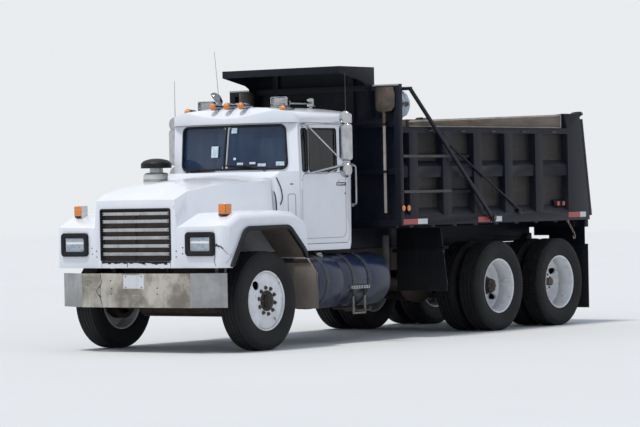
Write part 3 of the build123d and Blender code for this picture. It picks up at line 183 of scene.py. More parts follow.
def weathered(name, base, second, **changes):
    # a change gives all of a key's values or only the first few of them
    wear = dict(plainWear)
    for key, value in changes.items():
        given = value if isinstance(value, tuple) else (value,)
        wear[key] = given + wear[key][len(given):]
    (patch,), (metallic,), (coat,), (gloss,), (rust,) = (
        wear[key] for key in ("patch", "metal", "coat", "gloss", "rust"))
    sheet = Sheet(name)
    size, depth = wear["grain"]
    broad = sheet.cloud(patch, 5.0)
    fine = sheet.cloud(size, 3.0)
    patchy = sheet.cloud(0.14, 6.0)
    runs = sheet.cloud(1.0, 5.0, sheet.stretched((15.0, 15.0, 0.9)))
    colour = sheet.blend(broad.above(0.35, 0.65), base, second)
    amount, tint = wear["scuffs"]
    if amount:
        scrape = sheet.cloud(1.0, 6.0, sheet.stretched((2.2, 2.2, 9.0)), 0.75).above(0.56, 0.7)
        colour = sheet.blend(scrape * patchy.above(0.3, 0.7) * amount, colour, tint)
    amount, tint = wear["streaks"]
    colour = sheet.blend(runs.above(0.5, 0.74) * amount, colour, tint)
    amount, tint, top, settled = wear["dust"]
    low = 1 - sheet.axis("Z").above(0.15, top)
    up = sheet.axis("Z", sheet.normal).above(0.45, 0.95)
    dust = ((low * amount + up * settled) * (0.25 + patchy.above(0.3, 0.7))).held()
    colour = sheet.blend(dust, colour, tint)
    amount, tint = wear["edge"]
    bare = (sheet.mark("wear") * sheet.cloud(0.05, 6.0).above(0.42, 0.6) * amount).held()
    colour = sheet.blend(bare, colour, tint)
    value, change = wear["rough"]
    rough = value + (broad - 0.5) * change + dust * 0.3
    metal = metallic * (1 - dust) + bare * 0.5
    if rust:
        eaten = sheet.cloud(0.09, 8.0, rough=0.7).above(0.62 - 0.2 * rust, 0.74 - 0.16 * rust)
        colour = sheet.blend(eaten, colour, sheet.blend(fine, (0.16, 0.065, 0.03), (0.22, 0.1, 0.045)))
        rough = rough + eaten * 0.3
        metal = metal * (1 - eaten)
    return sheet.finish({
        "Base Color": colour, "Roughness": rough.held(), "Metallic": metal.held(), "Coat Weight": coat,
        "Coat Roughness": 0.08, "Specular IOR Level": gloss,
        "Normal": sheet.bump(fine + patchy * 2.0, depth, 0.6)})


def glassy(name, tint, opacity, streak):
    sheet = Sheet(name)
    dirt = sheet.cloud(0.5, 6.0).above(0.4, 0.8) * streak
    film = sheet.cloud(1.0, 5.0, sheet.stretched((9.0, 9.0, 1.2))).above(0.45, 0.8) * streak
    colour = sheet.blend((dirt + film).held(), tint, (0.42, 0.43, 0.42))
    alpha = (opacity + dirt * 0.5 + film * 0.3).held()
    rough = (0.04 + dirt * 0.3).held()
    return sheet.finish({"Base Color": colour, "Roughness": rough, "Alpha": alpha, "IOR": 1.5})


def lensLike(name, inner, outer, ribs):
    # moulded plastic lens with upright ribs
    sheet = Sheet(name)
    flute = (sheet.axis("Y") * ribs).wave() * (sheet.axis("Z") * ribs).wave()
    cloud = sheet.cloud(0.02, 3.0)
    colour = sheet.blend(cloud.above(0.3, 0.7), inner, outer)
    return sheet.finish({
        "Base Color": colour, "Roughness": (0.14 + cloud * 0.1).held(), "Coat Weight": 0.6,
        "Coat Roughness": 0.05, "Normal": sheet.bump(flute, 0.0008)})


def lensWithPaintedBand(name, dark, bright, height):
    # silvered lamp behind ribbed glass, with a painted reflection: a bright band across it
    sheet = Sheet(name)
    flute = (sheet.axis("Y") * 420.0).wave()
    rise = sheet.axis("Z") - height
    # painted reflection: bright stripes in a band around the given height
    band = (rise * 60.0).wave().above(0.55, 0.95) * (1 - (rise * rise).above(0.0004, 0.003))
    cloud = sheet.cloud(0.03, 4.0)
    colour = sheet.blend(cloud.above(0.3, 0.7), dark, (0.24, 0.3, 0.37))
    colour = sheet.blend(band.held(), colour, bright)
    return sheet.finish({
        "Base Color": colour, "Roughness": (0.16 + cloud * 0.1).held(), "Metallic": 0.35, "Coat Weight": 0.8,
        "Coat Roughness": 0.04, "Normal": sheet.bump(flute, 0.0006)})


def tyreRubber():
    sheet = Sheet("tyreRubber")
    fine = sheet.cloud(0.004, 3.0)
    broad = sheet.cloud(0.3, 5.0)
    dusty = sheet.cloud(0.05, 7.0).above(0.35, 0.75)
    colour = sheet.blend(broad.above(0.3, 0.7), (0.0085, 0.009, 0.011), (0.015, 0.015, 0.0165))
    colour = sheet.blend((dusty * 0.22 + sheet.mark("wear") * 0.35).held(), colour, (0.06, 0.056, 0.052))
    return sheet.finish({
        "Base Color": colour, "Roughness": (0.62 + dusty * 0.25).held(), "Specular IOR Level": 0.2,
        "Normal": sheet.bump(fine + broad * 3.0, 0.0008)})


def planks():
    sheet = Sheet("planks")
    grain = sheet.cloud(1.0, 7.0, sheet.stretched((3.0, 60.0, 60.0)), 0.7)
    knots = sheet.cells(0.3, sheet.stretched((0.6, 3.0, 3.0)))
    colour = sheet.blend(grain.above(0.35, 0.68), (0.105, 0.072, 0.046), (0.2, 0.148, 0.105))
    colour = sheet.blend(1 - knots.above(0.05, 0.16), colour, (0.07, 0.04, 0.025))
    grey = sheet.cloud(0.5, 5.0).above(0.4, 0.75)
    colour = sheet.blend(grey * 0.5, colour, (0.21, 0.19, 0.165))
    # painted sunlit highlight: faces that look up are made much lighter
    bright = sheet.axis("Z", sheet.normal).above(0.5, 0.95)
    colour = sheet.blend(bright * 0.75, colour, (0.62, 0.56, 0.46))
    return sheet.finish(
        {"Base Color": colour, "Roughness": (0.7 + grain * 0.2).held(), "Normal": sheet.bump(grain, 0.002)})


def tarpCloth():
    sheet = Sheet("tarpCloth")
    weave = (sheet.axis("Y") * 2600.0).wave() * (sheet.axis("Z") * 2600.0).wave()
    broad = sheet.cloud(0.25, 6.0)
    colour = sheet.blend(broad.above(0.35, 0.65), (0.34, 0.45, 0.56), (0.56, 0.65, 0.72))
    grime = sheet.cloud(0.07, 7.0).above(0.5, 0.8)
    colour = sheet.blend(grime * 0.35, colour, (0.18, 0.2, 0.22))
    return sheet.finish({
        "Base Color": colour, "Roughness": (0.45 + grime * 0.3).held(), "Sheen Weight": 0.2,
        "Normal": sheet.bump(weave + broad * 4.0, 0.0012)})


def radiatorFins():
    sheet = Sheet("radiatorFins")
    fins = (sheet.axis("Z") * 700.0).wave()
    tubes = (sheet.axis("Y") * 300.0).wave()
    mud = sheet.cloud(0.12, 6.0)
    colour = sheet.blend(fins.above(-0.2, 0.6), (0.01, 0.008, 0.007), (0.1, 0.065, 0.045))
    colour = sheet.blend(tubes.above(0.75, 0.95) * 0.6, colour, (0.06, 0.05, 0.045))
    colour = sheet.blend(mud.above(0.5, 0.8) * 0.5, colour, (0.13, 0.1, 0.08))
    return sheet.finish(
        {"Base Color": colour, "Roughness": (0.7 + mud * 0.2).held(), "Normal": sheet.bump(fins, 0.002)})


whitePaint = weathered(
    "whitePaint", (0.775, 0.79, 0.815), (0.725, 0.745, 0.785), rough=(0.3, 0.12), coat=0.5,
    grain=(0.05, 0.0003), dust=(0.22, (0.5, 0.46, 0.4), 1.15, 0.02), streaks=(0.05, (0.5, 0.47, 0.42)),
    edge=(0.15, (0.42, 0.4, 0.38)))
frameBlack = weathered(
    "frameBlack", (0.02, 0.019, 0.019), (0.034, 0.03, 0.027), rough=0.6, gloss=0.25,
    dust=(0.85, (0.088, 0.068, 0.054), 1.45, 0.35), rust=0.2, edge=(0.3, (0.1, 0.085, 0.075)))
engineIron = weathered(
    "engineIron", (0.035, 0.03, 0.028), (0.075, 0.06, 0.05), rough=0.65, grain=(0.006, 0.002),
    dust=(0.6, (0.13, 0.11, 0.09), 1.6), rust=0.5, edge=0.2)
brightSteel = weathered(
    "brightSteel", (0.52, 0.53, 0.55), (0.36, 0.37, 0.39), patch=0.16, rough=(0.09, 0.08), metal=1.0,
    grain=0.08, dust=(0.22, (0.42, 0.39, 0.34), 1.1, 0.04), streaks=(0.2, (0.24, 0.23, 0.22)), edge=0.0)
bumperSteel = weathered(
    "bumperSteel", (0.56, 0.53, 0.47), (0.21, 0.19, 0.165), patch=0.3, rough=(0.08, 0.1), metal=1.0,
    grain=(0.1, 0.0012), dust=(0.3, (0.36, 0.33, 0.28), 0.95, 0.04), streaks=(0.35, (0.22, 0.19, 0.16)),
    edge=0.0, scuffs=(0.5, (0.7, 0.68, 0.63)))
bulletSteel = weathered(
    "bulletSteel", (0.27, 0.29, 0.335), (0.15, 0.165, 0.2), patch=0.1, rough=(0.1, 0.08), metal=0.85,
    grain=(0.05, 0.0004), dust=(0.0, (0.3, 0.26, 0.21), 1.3, 0.05), streaks=(0.2, (0.16, 0.17, 0.19)),
    edge=0.0)
brushedSteel = weathered(
    "brushedSteel", (0.4, 0.41, 0.42), (0.31, 0.32, 0.33), patch=0.2, rough=0.36, metal=0.9,
    dust=(0.45, (0.24, 0.22, 0.19)), streaks=(0.45, (0.17, 0.16, 0.15)), rust=0.06)
tankPaint = weathered(
    "tankPaint", (0.005, 0.015, 0.052), (0.0085, 0.0165, 0.036), rough=0.3, coat=0.18, gloss=0.3,
    dust=(0.42, (0.105, 0.096, 0.088), 0.9, 0.1), streaks=(0.22, (0.062, 0.058, 0.055)),
    scuffs=(0.35, (0.085, 0.085, 0.088)))
strapPaint = weathered(
    "strapPaint", (0.03, 0.04, 0.062), (0.06, 0.062, 0.066), metal=0.2, gloss=0.3,
    dust=(0.4, (0.095, 0.088, 0.078), 1.1, 0.4), streaks=0.3, edge=(0.8, (0.2, 0.2, 0.2)))
strapSteel = weathered(
    "strapSteel", (0.135, 0.13, 0.124), (0.19, 0.18, 0.165), patch=0.12, rough=0.5, metal=0.3,
    dust=(0.35, (0.15, 0.125, 0.1)), streaks=0.5, rust=0.15)
darkSteel = weathered(
    "darkSteel", (0.06, 0.057, 0.055), (0.1, 0.092, 0.085), rough=0.5, metal=0.4, gloss=0.3,
    dust=(0.5, (0.19, 0.16, 0.13)), streaks=0.3, rust=0.25, edge=0.5)
cleanerWhite = weathered(
    "cleanerWhite", (0.62, 0.63, 0.62), (0.55, 0.55, 0.53), rough=0.32, metal=0.3,
    dust=(0.3, (0.3, 0.26, 0.21), 1.9), streaks=(0.25, (0.33, 0.3, 0.27)), rust=0.05)
trimBlack = weathered(
    "trimBlack", (0.0045, 0.005, 0.007), (0.0085, 0.0085, 0.011), rough=0.5, gloss=0.25,
    grain=(0.002, 0.0003), dust=(0.08, (0.06, 0.055, 0.05), 1.4, 0.08), streaks=0.1,
    edge=(0.15, (0.05, 0.05, 0.055)))
flapRubber = weathered(
    "flapRubber", (0.006, 0.007, 0.01), (0.011, 0.011, 0.014), rough=0.7, gloss=0.2,
    dust=(0.2, (0.075, 0.064, 0.052), 0.9), streaks=(0.25, (0.04, 0.035, 0.03)),
    edge=(0.5, (0.1, 0.095, 0.09)))
muddyFlap = weathered(
    "muddyFlap", (0.2, 0.165, 0.14), (0.27, 0.23, 0.195), rough=0.85, dust=(0.35, (0.26, 0.22, 0.18), 1.6),
    streaks=(0.9, (0.1, 0.08, 0.066)), edge=0.1)
wheelWell = weathered(
    "wheelWell", (0.085, 0.072, 0.062), (0.13, 0.108, 0.09), rough=0.85, gloss=0.2, grain=(0.006, 0.0015),
    dust=(0.4, (0.16, 0.13, 0.105), 1.6), streaks=(0.4, (0.03, 0.026, 0.022)), edge=0.0)
cabVinyl = weathered(
    "cabVinyl", (0.055, 0.058, 0.065), (0.075, 0.075, 0.08), rough=0.55, grain=0.003, dust=0.05, streaks=0.0,
    edge=0.1)
# its pale bluish edges are partly bare metal, partly a painted highlight
bodyBlack = weathered(
    "bodyBlack", (0.0058, 0.0078, 0.0155), (0.0095, 0.0108, 0.0175), patch=0.9, rough=(0.4, 0.25), gloss=0.16,
    grain=(0.006, 0.0012), dust=(0.18, (0.04, 0.038, 0.042), 1.9, 0.22), streaks=(0.5, (0.024, 0.021, 0.022)),
    edge=(0.85, (0.07, 0.07, 0.078)), scuffs=(0.35, (0.042, 0.039, 0.04)))
bodyPanel = weathered(
    "bodyPanel", (0.011, 0.0105, 0.012), (0.024, 0.02, 0.0185), patch=0.5, rough=0.5, gloss=0.25,
    grain=(0.006, 0.0012), dust=(0.18, (0.075, 0.062, 0.052), 2.2), streaks=(0.6, (0.052, 0.041, 0.034)),
    edge=(0.6, (0.085, 0.08, 0.078)), scuffs=(0.85, (0.085, 0.072, 0.062)))
wornBar = weathered(
    "wornBar", (0.042, 0.04, 0.041), (0.07, 0.065, 0.062), patch=0.2, rough=0.55, gloss=0.3,
    dust=(0.1, (0.3, 0.26, 0.21), 3.0, 0.3), streaks=(0.5, (0.03, 0.027, 0.026)),
    edge=(0.6, (0.16, 0.15, 0.14)))
rustyLink = weathered(
    "rustyLink", (0.22, 0.155, 0.115), (0.3, 0.235, 0.18), patch=0.03, rough=0.6, dust=0.2, streaks=0.3,
    rust=0.3)
bodyInside = weathered(
    "bodyInside", (0.1, 0.085, 0.072), (0.16, 0.14, 0.12), rough=0.55, metal=0.3,
    dust=(0.5, (0.26, 0.22, 0.17), 3.0, 0.6), streaks=(0.5, (0.13, 0.08, 0.05)), rust=0.5, scuffs=0.6)
rimPaint = weathered(
    "rimPaint", (0.76, 0.77, 0.79), (0.66, 0.67, 0.68), patch=0.1, rough=0.34,
    dust=(0.18, (0.36, 0.32, 0.27), 1.0), streaks=(0.18, (0.24, 0.22, 0.2)), rust=0.1,
    edge=(0.5, (0.22, 0.2, 0.18)), scuffs=(0.55, (0.2, 0.2, 0.21)))
hubGrease = weathered(
    "hubGrease", (0.01, 0.009, 0.009), (0.026, 0.021, 0.018), metal=0.2, gloss=0.25, grain=(0.006, 0.0015),
    dust=(0.2, (0.06, 0.048, 0.038)), rust=0.2)
hoistSteel = weathered(
    "hoistSteel", (0.55, 0.55, 0.55), (0.46, 0.46, 0.46), rough=0.25, metal=0.9, dust=0.2, rust=0.05,
    edge=0.1)
boltGrey = weathered(
    "boltGrey", (0.06, 0.058, 0.057), (0.1, 0.092, 0.085), rough=0.5, metal=0.5, gloss=0.3, dust=0.3,
    rust=0.2)
tapeRed = weathered(
    "tapeRed", (0.46, 0.055, 0.05), (0.36, 0.05, 0.045), rough=0.35, grain=0.004,
    dust=(0.25, (0.22, 0.14, 0.12), 2.2), streaks=0.3, edge=0.0)
tapeWhite = weathered(
    "tapeWhite", (0.66, 0.67, 0.68), (0.58, 0.59, 0.6), rough=0.35, grain=0.004,
    dust=(0.2, (0.3, 0.26, 0.21), 2.2), streaks=(0.3, (0.34, 0.32, 0.3)), edge=0.0)
platePaint = weathered(
    "platePaint", (0.66, 0.67, 0.69), (0.6, 0.61, 0.63), rough=0.35, dust=0.1, streaks=0.15, edge=0.4)
satinBar = weathered(
    "satinBar", (0.5, 0.51, 0.53), (0.38, 0.39, 0.41), patch=0.14, rough=0.24, metal=0.95,
    dust=(0.3, (0.2, 0.18, 0.155), 1.25, 0.1), streaks=(0.35, (0.2, 0.19, 0.18)), rust=0.05,
    edge=(0.4, (0.75, 0.75, 0.76)))
chippedBar = weathered(
    "chippedBar", (0.46, 0.47, 0.49), (0.34, 0.35, 0.37), patch=0.1, rough=0.3, metal=0.9,
    dust=(0.4, (0.16, 0.14, 0.12)), edge=(0.9, (0.04, 0.038, 0.036)), scuffs=(1.0, (0.03, 0.028, 0.027)))
hoodInside = weathered(
    "hoodInside", (0.075, 0.072, 0.07), (0.05, 0.047, 0.044), rough=0.75, grain=(0.004, 0.0012), dust=0.3,
    edge=0.1)
seatCloth = weathered(
    "seatCloth", (0.075, 0.08, 0.095), (0.055, 0.058, 0.066), rough=0.8, grain=(0.0025, 0.0005),
    dust=(0.0, (0.3, 0.26, 0.21), 1.3, 0.08), streaks=0.0, edge=0.0)
shovelWood = weathered(
    "shovelWood", (0.42, 0.37, 0.31), (0.33, 0.28, 0.23), patch=0.2, rough=0.65,
    dust=(0.0, (0.3, 0.26, 0.21), 1.3, 0.0), streaks=(0.5, (0.2, 0.17, 0.14)), edge=0.0)
shovelBlade = weathered(
    "shovelBlade", (0.105, 0.085, 0.07), (0.07, 0.058, 0.05), patch=0.15, metal=0.5,
    dust=(0.3, (0.16, 0.12, 0.09), 4.0), rust=0.35, scuffs=(0.5, (0.24, 0.22, 0.2)))
# pale strips: those along the tops of the front wall and the side boards are a painted sunlit highlight
paleEdgeAndSunlitTop = weathered(
    "paleEdgeAndSunlitTop", (0.46, 0.43, 0.38), (0.34, 0.31, 0.27), patch=0.2, rough=0.6,
    dust=(0.0, (0.3, 0.26, 0.21), 1.3, 0.1), streaks=(0.5, (0.18, 0.15, 0.12)), edge=(0.3, (0.6, 0.58, 0.54)))
paperWhite = weathered(
    "paperWhite", (0.72, 0.78, 0.82), (0.42, 0.56, 0.64), patch=0.05, rough=0.7,
    dust=(0.0, (0.3, 0.26, 0.21), 1.3, 0.0), streaks=0.0, edge=0.0)
mirrorFace = weathered(
    "mirrorFace", (0.82, 0.83, 0.84), (0.78, 0.79, 0.8), rough=(0.03, 0.02), metal=1.0,
    dust=(0.0, (0.3, 0.26, 0.21), 1.3, 0.0), streaks=0.03, edge=0.0)
dialFace = weathered(
    "dialFace", (0.05, 0.05, 0.052), (0.12, 0.12, 0.12), patch=0.01, rough=0.25, coat=0.6, dust=0.0,
    streaks=0.0, edge=0.0)
# the windscreen's dark blue colour is a painted sky reflection
screenGlass = glassy("screenGlass", (0.012, 0.04, 0.098), 0.64, 0.07)
doorGlass = glassy("doorGlass", (0.006, 0.01, 0.011), 0.72, 0.05)
lampGlass = lensLike("lampGlass", (0.62, 0.66, 0.7), (0.42, 0.47, 0.52), 260.0)
amberLens = lensLike("amberLens", (0.8, 0.26, 0.02), (0.62, 0.15, 0.01), 420.0)
redLens = lensLike("redLens", (0.5, 0.03, 0.025), (0.36, 0.02, 0.02), 420.0)
headLens = lensWithPaintedBand("headLens", (0.4, 0.46, 0.52), (0.86, 0.84, 0.8), 1.16)
rubber = tyreRubber()
boards = planks()
tarp = tarpCloth()
fins = radiatorFins()
print("finishes mixed")


class Part:
    # one piece while it is being modelled: shapes are begun in a bmesh of their own, finished and added
    def __init__(self, name, body, slot):
        self.name, self.body, self.slot = name, body, slot
        self.whole = bmesh.new()
        self.worn = self.whole.faces.layers.float.new("wear")
        self.finishes = []
        self.current = 0

    def use(self, finish):
        if finish not in self.finishes:
            self.finishes.append(finish)
        self.current = self.finishes.index(finish)
        return self

    def take(self, shape, round=0.0, segments=2, sharper=25, join=True):
        if join:
            bmesh.ops.remove_doubles(shape, verts=shape.verts, dist=0.00002)
            bmesh.ops.recalc_face_normals(shape, faces=shape.faces)
        bevelled = set()
        if round:
            limit = math.radians(sharper)
            sharp = [
                edge for edge in shape.edges
                if len(edge.link_faces) == 2 and edge.calc_face_angle() > limit]
            made = bmesh.ops.bevel(
                shape, geom=sharp, offset=round, offset_type="OFFSET", segments=segments, profile=0.5,
                affect="EDGES", material=-1, clamp_overlap=True)
            shape.faces.index_update()
            bevelled = {face.index for face in made["faces"]}
        step = bpy.data.meshes.new("step")
        shape.to_mesh(step)
        shape.free()
        before = len(self.whole.faces)
        self.whole.from_mesh(step)
        bpy.data.meshes.remove(step)
        self.whole.faces.ensure_lookup_table()
        for number, face in enumerate(self.whole.faces[before:]):
            face.material_index = self.current
            face[self.worn] = 1.0 if number in bevelled else 0.0
        return self

    def settle(self):
        # after faces are cut away, so that new ones come last again
        step = bpy.data.meshes.new("step")
        self.whole.to_mesh(step)
        self.whole.free()
        self.whole = bmesh.new()
        self.whole.from_mesh(step)
        self.worn = self.whole.faces.layers.float["wear"]
        bpy.data.meshes.remove(step)

    def box(self, low, high, round=0.0, segments=2, turn=None):
        return self.take(brick(low, high, turn), round, segments)

    def rod(self, start, end, radius, tip=None, sides=16, round=0.0):
        return self.take(addRod(bmesh.new(), start, end, radius, tip, sides), round, 2, 60)

    def plate(self, outline, thickness, round=0.0, segments=2):
        return self.take(thickened(outline, thickness), round, segments)

    def lathe(self, profile, centre, axis, steps=48, closed=False, holes=(), round=0.0):
        shape = spun(profile, centre, axis, steps, closed)
        if holes:
            shape = drilled(shape, holes)
        return self.take(shape, round)

    def band(self, low, high, inner, outer, centre, axis, steps=48):
        # a hoop from low to high along the axis
        profile = [(low, inner), (low, outer), (high, outer), (high, inner)]
        return self.lathe(profile, centre, axis, steps, closed=True)

    def loft(self, rings, round=0.0, closed=False):
        # a skin over outlines of the same number of points, capped at both ends unless it closes on itself
        shape = bmesh.new()
        loops = []
        for outline in rings:
            points = [shape.verts.new(place) for place in outline]
            loops.append([shape.edges.new(pair) for pair in zip(points, points[1:] + points[:1])])
        pairs = list(zip(loops, loops[1:])) + ([(loops[-1], loops[0])] if closed else [])
        for first, second in pairs:
            bmesh.ops.bridge_loops(shape, edges=first + second)
        if not closed:
            bmesh.ops.holes_fill(shape, edges=loops[0] + loops[-1], sides=0)
        return self.take(shape, round)

    def paint(self, finish, test):
        # another finish on the faces whose middle and normal pass the test
        if finish not in self.finishes:
            self.finishes.append(finish)
        number = self.finishes.index(finish)
        self.whole.normal_update()
        for face in self.whole.faces:
            if test(face.calc_center_median(), face.normal):
                face.material_index = number
        return self

    def pipe(self, points, radius, sides=6, closed=False):
        # a bent tube through points, or a ring of straight runs between them
        curve = bpy.data.curves.new("pipe", "CURVE")
        curve.dimensions = "3D"
        curve.bevel_depth = radius
        curve.bevel_resolution = sides // 2
        curve.use_fill_caps = True
        curve.resolution_u = 8
        line = curve.splines.new("POLY" if closed else "NURBS")
        line.points.add(len(points) - 1)
        for point, place in zip(line.points, points):
            point.co = (*place, 1)
        line.use_cyclic_u = closed
        if not closed:
            line.order_u = 3
            line.use_endpoint_u = True
        tube = bpy.data.objects.new("pipe", curve)
        shape = bmesh.new()
        step = bpy.data.meshes.new_from_object(tube)
        shape.from_mesh(step)
        bpy.data.objects.remove(tube)
        bpy.data.meshes.remove(step)
        return self.take(shape)

    def cad(self, node, round=0.006, segments=2, sharper=28):
        shape = bmesh.new()
        shape.from_mesh(cadNodes[node].data)
        bmesh.ops.remove_doubles(shape, verts=shape.verts, dist=0.00005)
        bmesh.ops.dissolve_limit(
            shape, angle_limit=math.radians(0.6), verts=shape.verts, edges=shape.edges,
            use_dissolve_boundaries=False)
        return self.take(shape, round, segments, sharper, join=False)

    def nut(self, place, axis, across=0.03, height=0.018, stud=0.012):
        axis = Vector(axis).normalized()
        place = Vector(place)
        self.rod(place, place + axis * 0.004, across * 0.72, sides=14)
        self.rod(place, place + axis * height, across * 0.577, across * 0.54, sides=6)
        return self.rod(place, place + axis * (height + stud), across * 0.28, sides=8)

    def done(self, replaces=(), smooth=35):
        mesh = bpy.data.meshes.new(self.name)
        self.whole.to_mesh(mesh)
        self.whole.free()
        for finish in self.finishes:
            mesh.materials.append(finish)
        mesh.polygons.foreach_set("use_smooth", [True] * len(mesh.polygons))
        mesh.set_sharp_from_angle(angle=math.radians(smooth))
        made = bpy.data.objects.new(self.name, mesh)
        bpy.context.scene.collection.objects.link(made)
        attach(made, self.body)
        if replaces:
            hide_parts(*replaces)
        return made


def brick(low, high, turn=None):
    shape = bmesh.new()
    centre = [(a + b) / 2 for a, b in zip(low, high)]
    size = [abs(b - a) for a, b in zip(low, high)]
    place = Matrix.Translation(centre) @ (turn or Matrix.Identity(4)) @ Matrix.Diagonal((*size, 1))
    bmesh.ops.create_cube(shape, size=1, matrix=place)
    return shape


def addRod(shape, start, end, radius, tip=None, sides=24):
    start, end = Vector(start), Vector(end)
    along = end - start
    place = Matrix.Translation((start + end) / 2) @ along.to_track_quat("Z", "Y").to_matrix().to_4x4()
    bmesh.ops.create_cone(
        shape, cap_ends=True, segments=sides, radius1=radius, radius2=radius if tip is None else tip,
        depth=along.length, matrix=place)
    return shape


def thickened(outline, thickness):
    # a flat outline given depth along the vector thickness
    shape = bmesh.new()
    face = shape.faces.new([shape.verts.new(point) for point in outline])
    made = bmesh.ops.extrude_face_region(shape, geom=[face])
    moved = [item for item in made["geom"] if isinstance(item, bmesh.types.BMVert)]
    bmesh.ops.translate(shape, verts=moved, vec=thickness)
    return shape


def spun(profile, centre, axis, steps, closed=False):
    # profile points are (along the axis, radius)
    shape = bmesh.new()
    centre, axis = Vector(centre), Vector(axis).normalized()
    out = axis.orthogonal().normalized()
    points = [shape.verts.new(centre + axis * along + out * radius) for along, radius in profile]
    edges = [shape.edges.new(pair) for pair in zip(points, points[1:])]
    if closed:
        edges.append(shape.edges.new((points[-1], points[0])))
    bmesh.ops.spin(
        shape, geom=points + edges, cent=centre, axis=axis, dvec=(0, 0, 0), angle=math.tau, steps=steps,
        use_merge=True, use_normal_flip=False, use_duplicate=False)
    bmesh.ops.remove_doubles(shape, verts=shape.verts, dist=0.00002)
    bmesh.ops.recalc_face_normals(shape, faces=shape.faces)
    return shape


def drilled(shape, holes):
    # holes are (start, end, radius)
    tools = bmesh.new()
    for start, end, radius in holes:
        addRod(tools, start, end, radius)
    pair = []
    for source in (shape, tools):
        mesh = bpy.data.meshes.new("step")
        source.to_mesh(mesh)
        source.free()
        pair.append(bpy.data.objects.new("step", mesh))
        bpy.context.scene.collection.objects.link(pair[-1])
    cut = pair[0].modifiers.new("holes", "BOOLEAN")
    cut.operation = "DIFFERENCE"
    cut.solver = "EXACT"
    cut.object = pair[1]
    bpy.context.view_layer.update()
    mesh = bpy.data.meshes.new_from_object(pair[0].evaluated_get(bpy.context.evaluated_depsgraph_get()))
    result = bmesh.new()
    result.from_mesh(mesh)
    for used in pair:
        bpy.data.objects.remove(used)
    bpy.data.meshes.remove(mesh)
    return result


def back(distance):
    return frontAxleX - distance


def ring(centre, across, up, corner=0.0, steps=4):
    # rounded rectangle in space; across and up are its half sizes as vectors
    centre, across, up = Vector(centre), Vector(across), Vector(up)
    wide, tall = across.length - corner, up.length - corner
    across, up = across.normalized(), up.normalized()
    points = []
    for start, right, high in ((0, 1, 1), (90, -1, 1), (180, -1, -1), (270, 1, -1)):
        for step in range(steps + 1):
            turn = math.radians(start + 90 * step / steps)
            out, rise = right * wide + corner * math.cos(turn), high * tall + corner * math.sin(turn)
            points.append(centre + across * out + up * rise)
    return points


def sided(path, side):
    # a path on the left side, or its mirror image on the right
    return [(x, side * y, z) for x, y, z in path]


def sections(centre, wide, tall, steps, rows):
    # rings that face forward; a row is (forward of the centre, inset, corner)
    x, y, z = centre
    return [
        ring((x + ahead, y, z), (0, wide - inset, 0), (0, 0, tall - inset), corner, steps)
        for ahead, inset, corner in rows]


def rounded(outline, radius, steps=5):
    # corners of a flat outline turned into arcs
    path = []
    for before, corner, after in zip(outline[-1:] + outline[:-1], outline, outline[1:] + outline[:1]):
        corner = Vector(corner)
        first, last = (Vector(before) - corner).normalized(), (Vector(after) - corner).normalized()
        half = first.angle(last) / 2
        middle = corner + (first + last).normalized() * radius / math.sin(half)
        start, end = (corner + way * radius / math.tan(half) - middle for way in (first, last))
        path += [middle + start.lerp(end, step / steps).normalized() * radius for step in range(steps + 1)]
    return path


# Wheels. Profiles are (from the wheel's centre plane, radius).
tyreShape = {
    "steps": 84,
    "bead": [(0.1, 0.312), (0.11, 0.322), (0.118, 0.338), (0.1215, 0.342), (0.123, 0.35), (0.1275, 0.368)],
    "wall": [
        (0.1345, 0.4), (0.138, 0.425), (0.138, 0.446), (0.1355, 0.466), (0.1365, 0.469), (0.1345, 0.474)],
    "shoulder": [(0.13, 0.49), (0.122, 0.505), (0.117, 0.5105), (0.115, 0.518), (0.109, 0.5215)],
    "ribs": (0.106, 0.07, 0.064, 0.027, 0.021),      # steering tyres: edges of the ribs
    "blocks": (0.106, 0.058, 0.049, 0.005),           # driving tyres: edges of the rows of blocks
    "treadBase": 0.5215,
    "treadDepth": 0.013,
    "bars": (0.505, 0.517, 0.112),      # on the shoulder: radius from and to, out from the middle
}


def addTyre(part, x, y, side, driving):
    values = tyreShape
    across = values["blocks"] if driving else values["ribs"]
    half = values["bead"] + values["wall"] + values["shoulder"] + [
        (edge, values["treadBase"]) for edge in across]
    profile = half + [(-along, radius) for along, radius in reversed(half)]
    centre = Vector((x, side * y, axleZ))
    shape = spun(profile, centre, (0, side, 0), values["steps"], closed=True)

    def reach(face):
        middle = face.calc_center_median() - centre
        return abs(middle.y), math.hypot(middle.x, middle.z)

    raised, rows = [], list(zip(across, across[1:]))[::2]
    for face in shape.faces:
        off, radius = reach(face)
        if radius > values["treadBase"] - 0.003:
            middle = not driving and off < 0.02
            if middle or any(low < off < high for high, low in rows):
                raised.append(face)
    if driving:
        bmesh.ops.inset_individual(shape, faces=raised, thickness=0.003, depth=values["treadDepth"])
    else:
        bmesh.ops.inset_region(shape, faces=raised, thickness=0.0012, depth=values["treadDepth"])
    bars, (low, high, inner) = [], values["bars"]
    for face in shape.faces:
        off, radius = reach(face)
        middle = face.calc_center_median()
        turn = math.atan2(middle.z - axleZ, middle.x - x)
        if low < radius < high and off > inner and int((turn + 4) * values["steps"] / math.tau) % 2:
            bars.append(face)
    bmesh.ops.inset_individual(shape, faces=bars, thickness=0.002, depth=0.0015)
    part.take(shape, join=False)


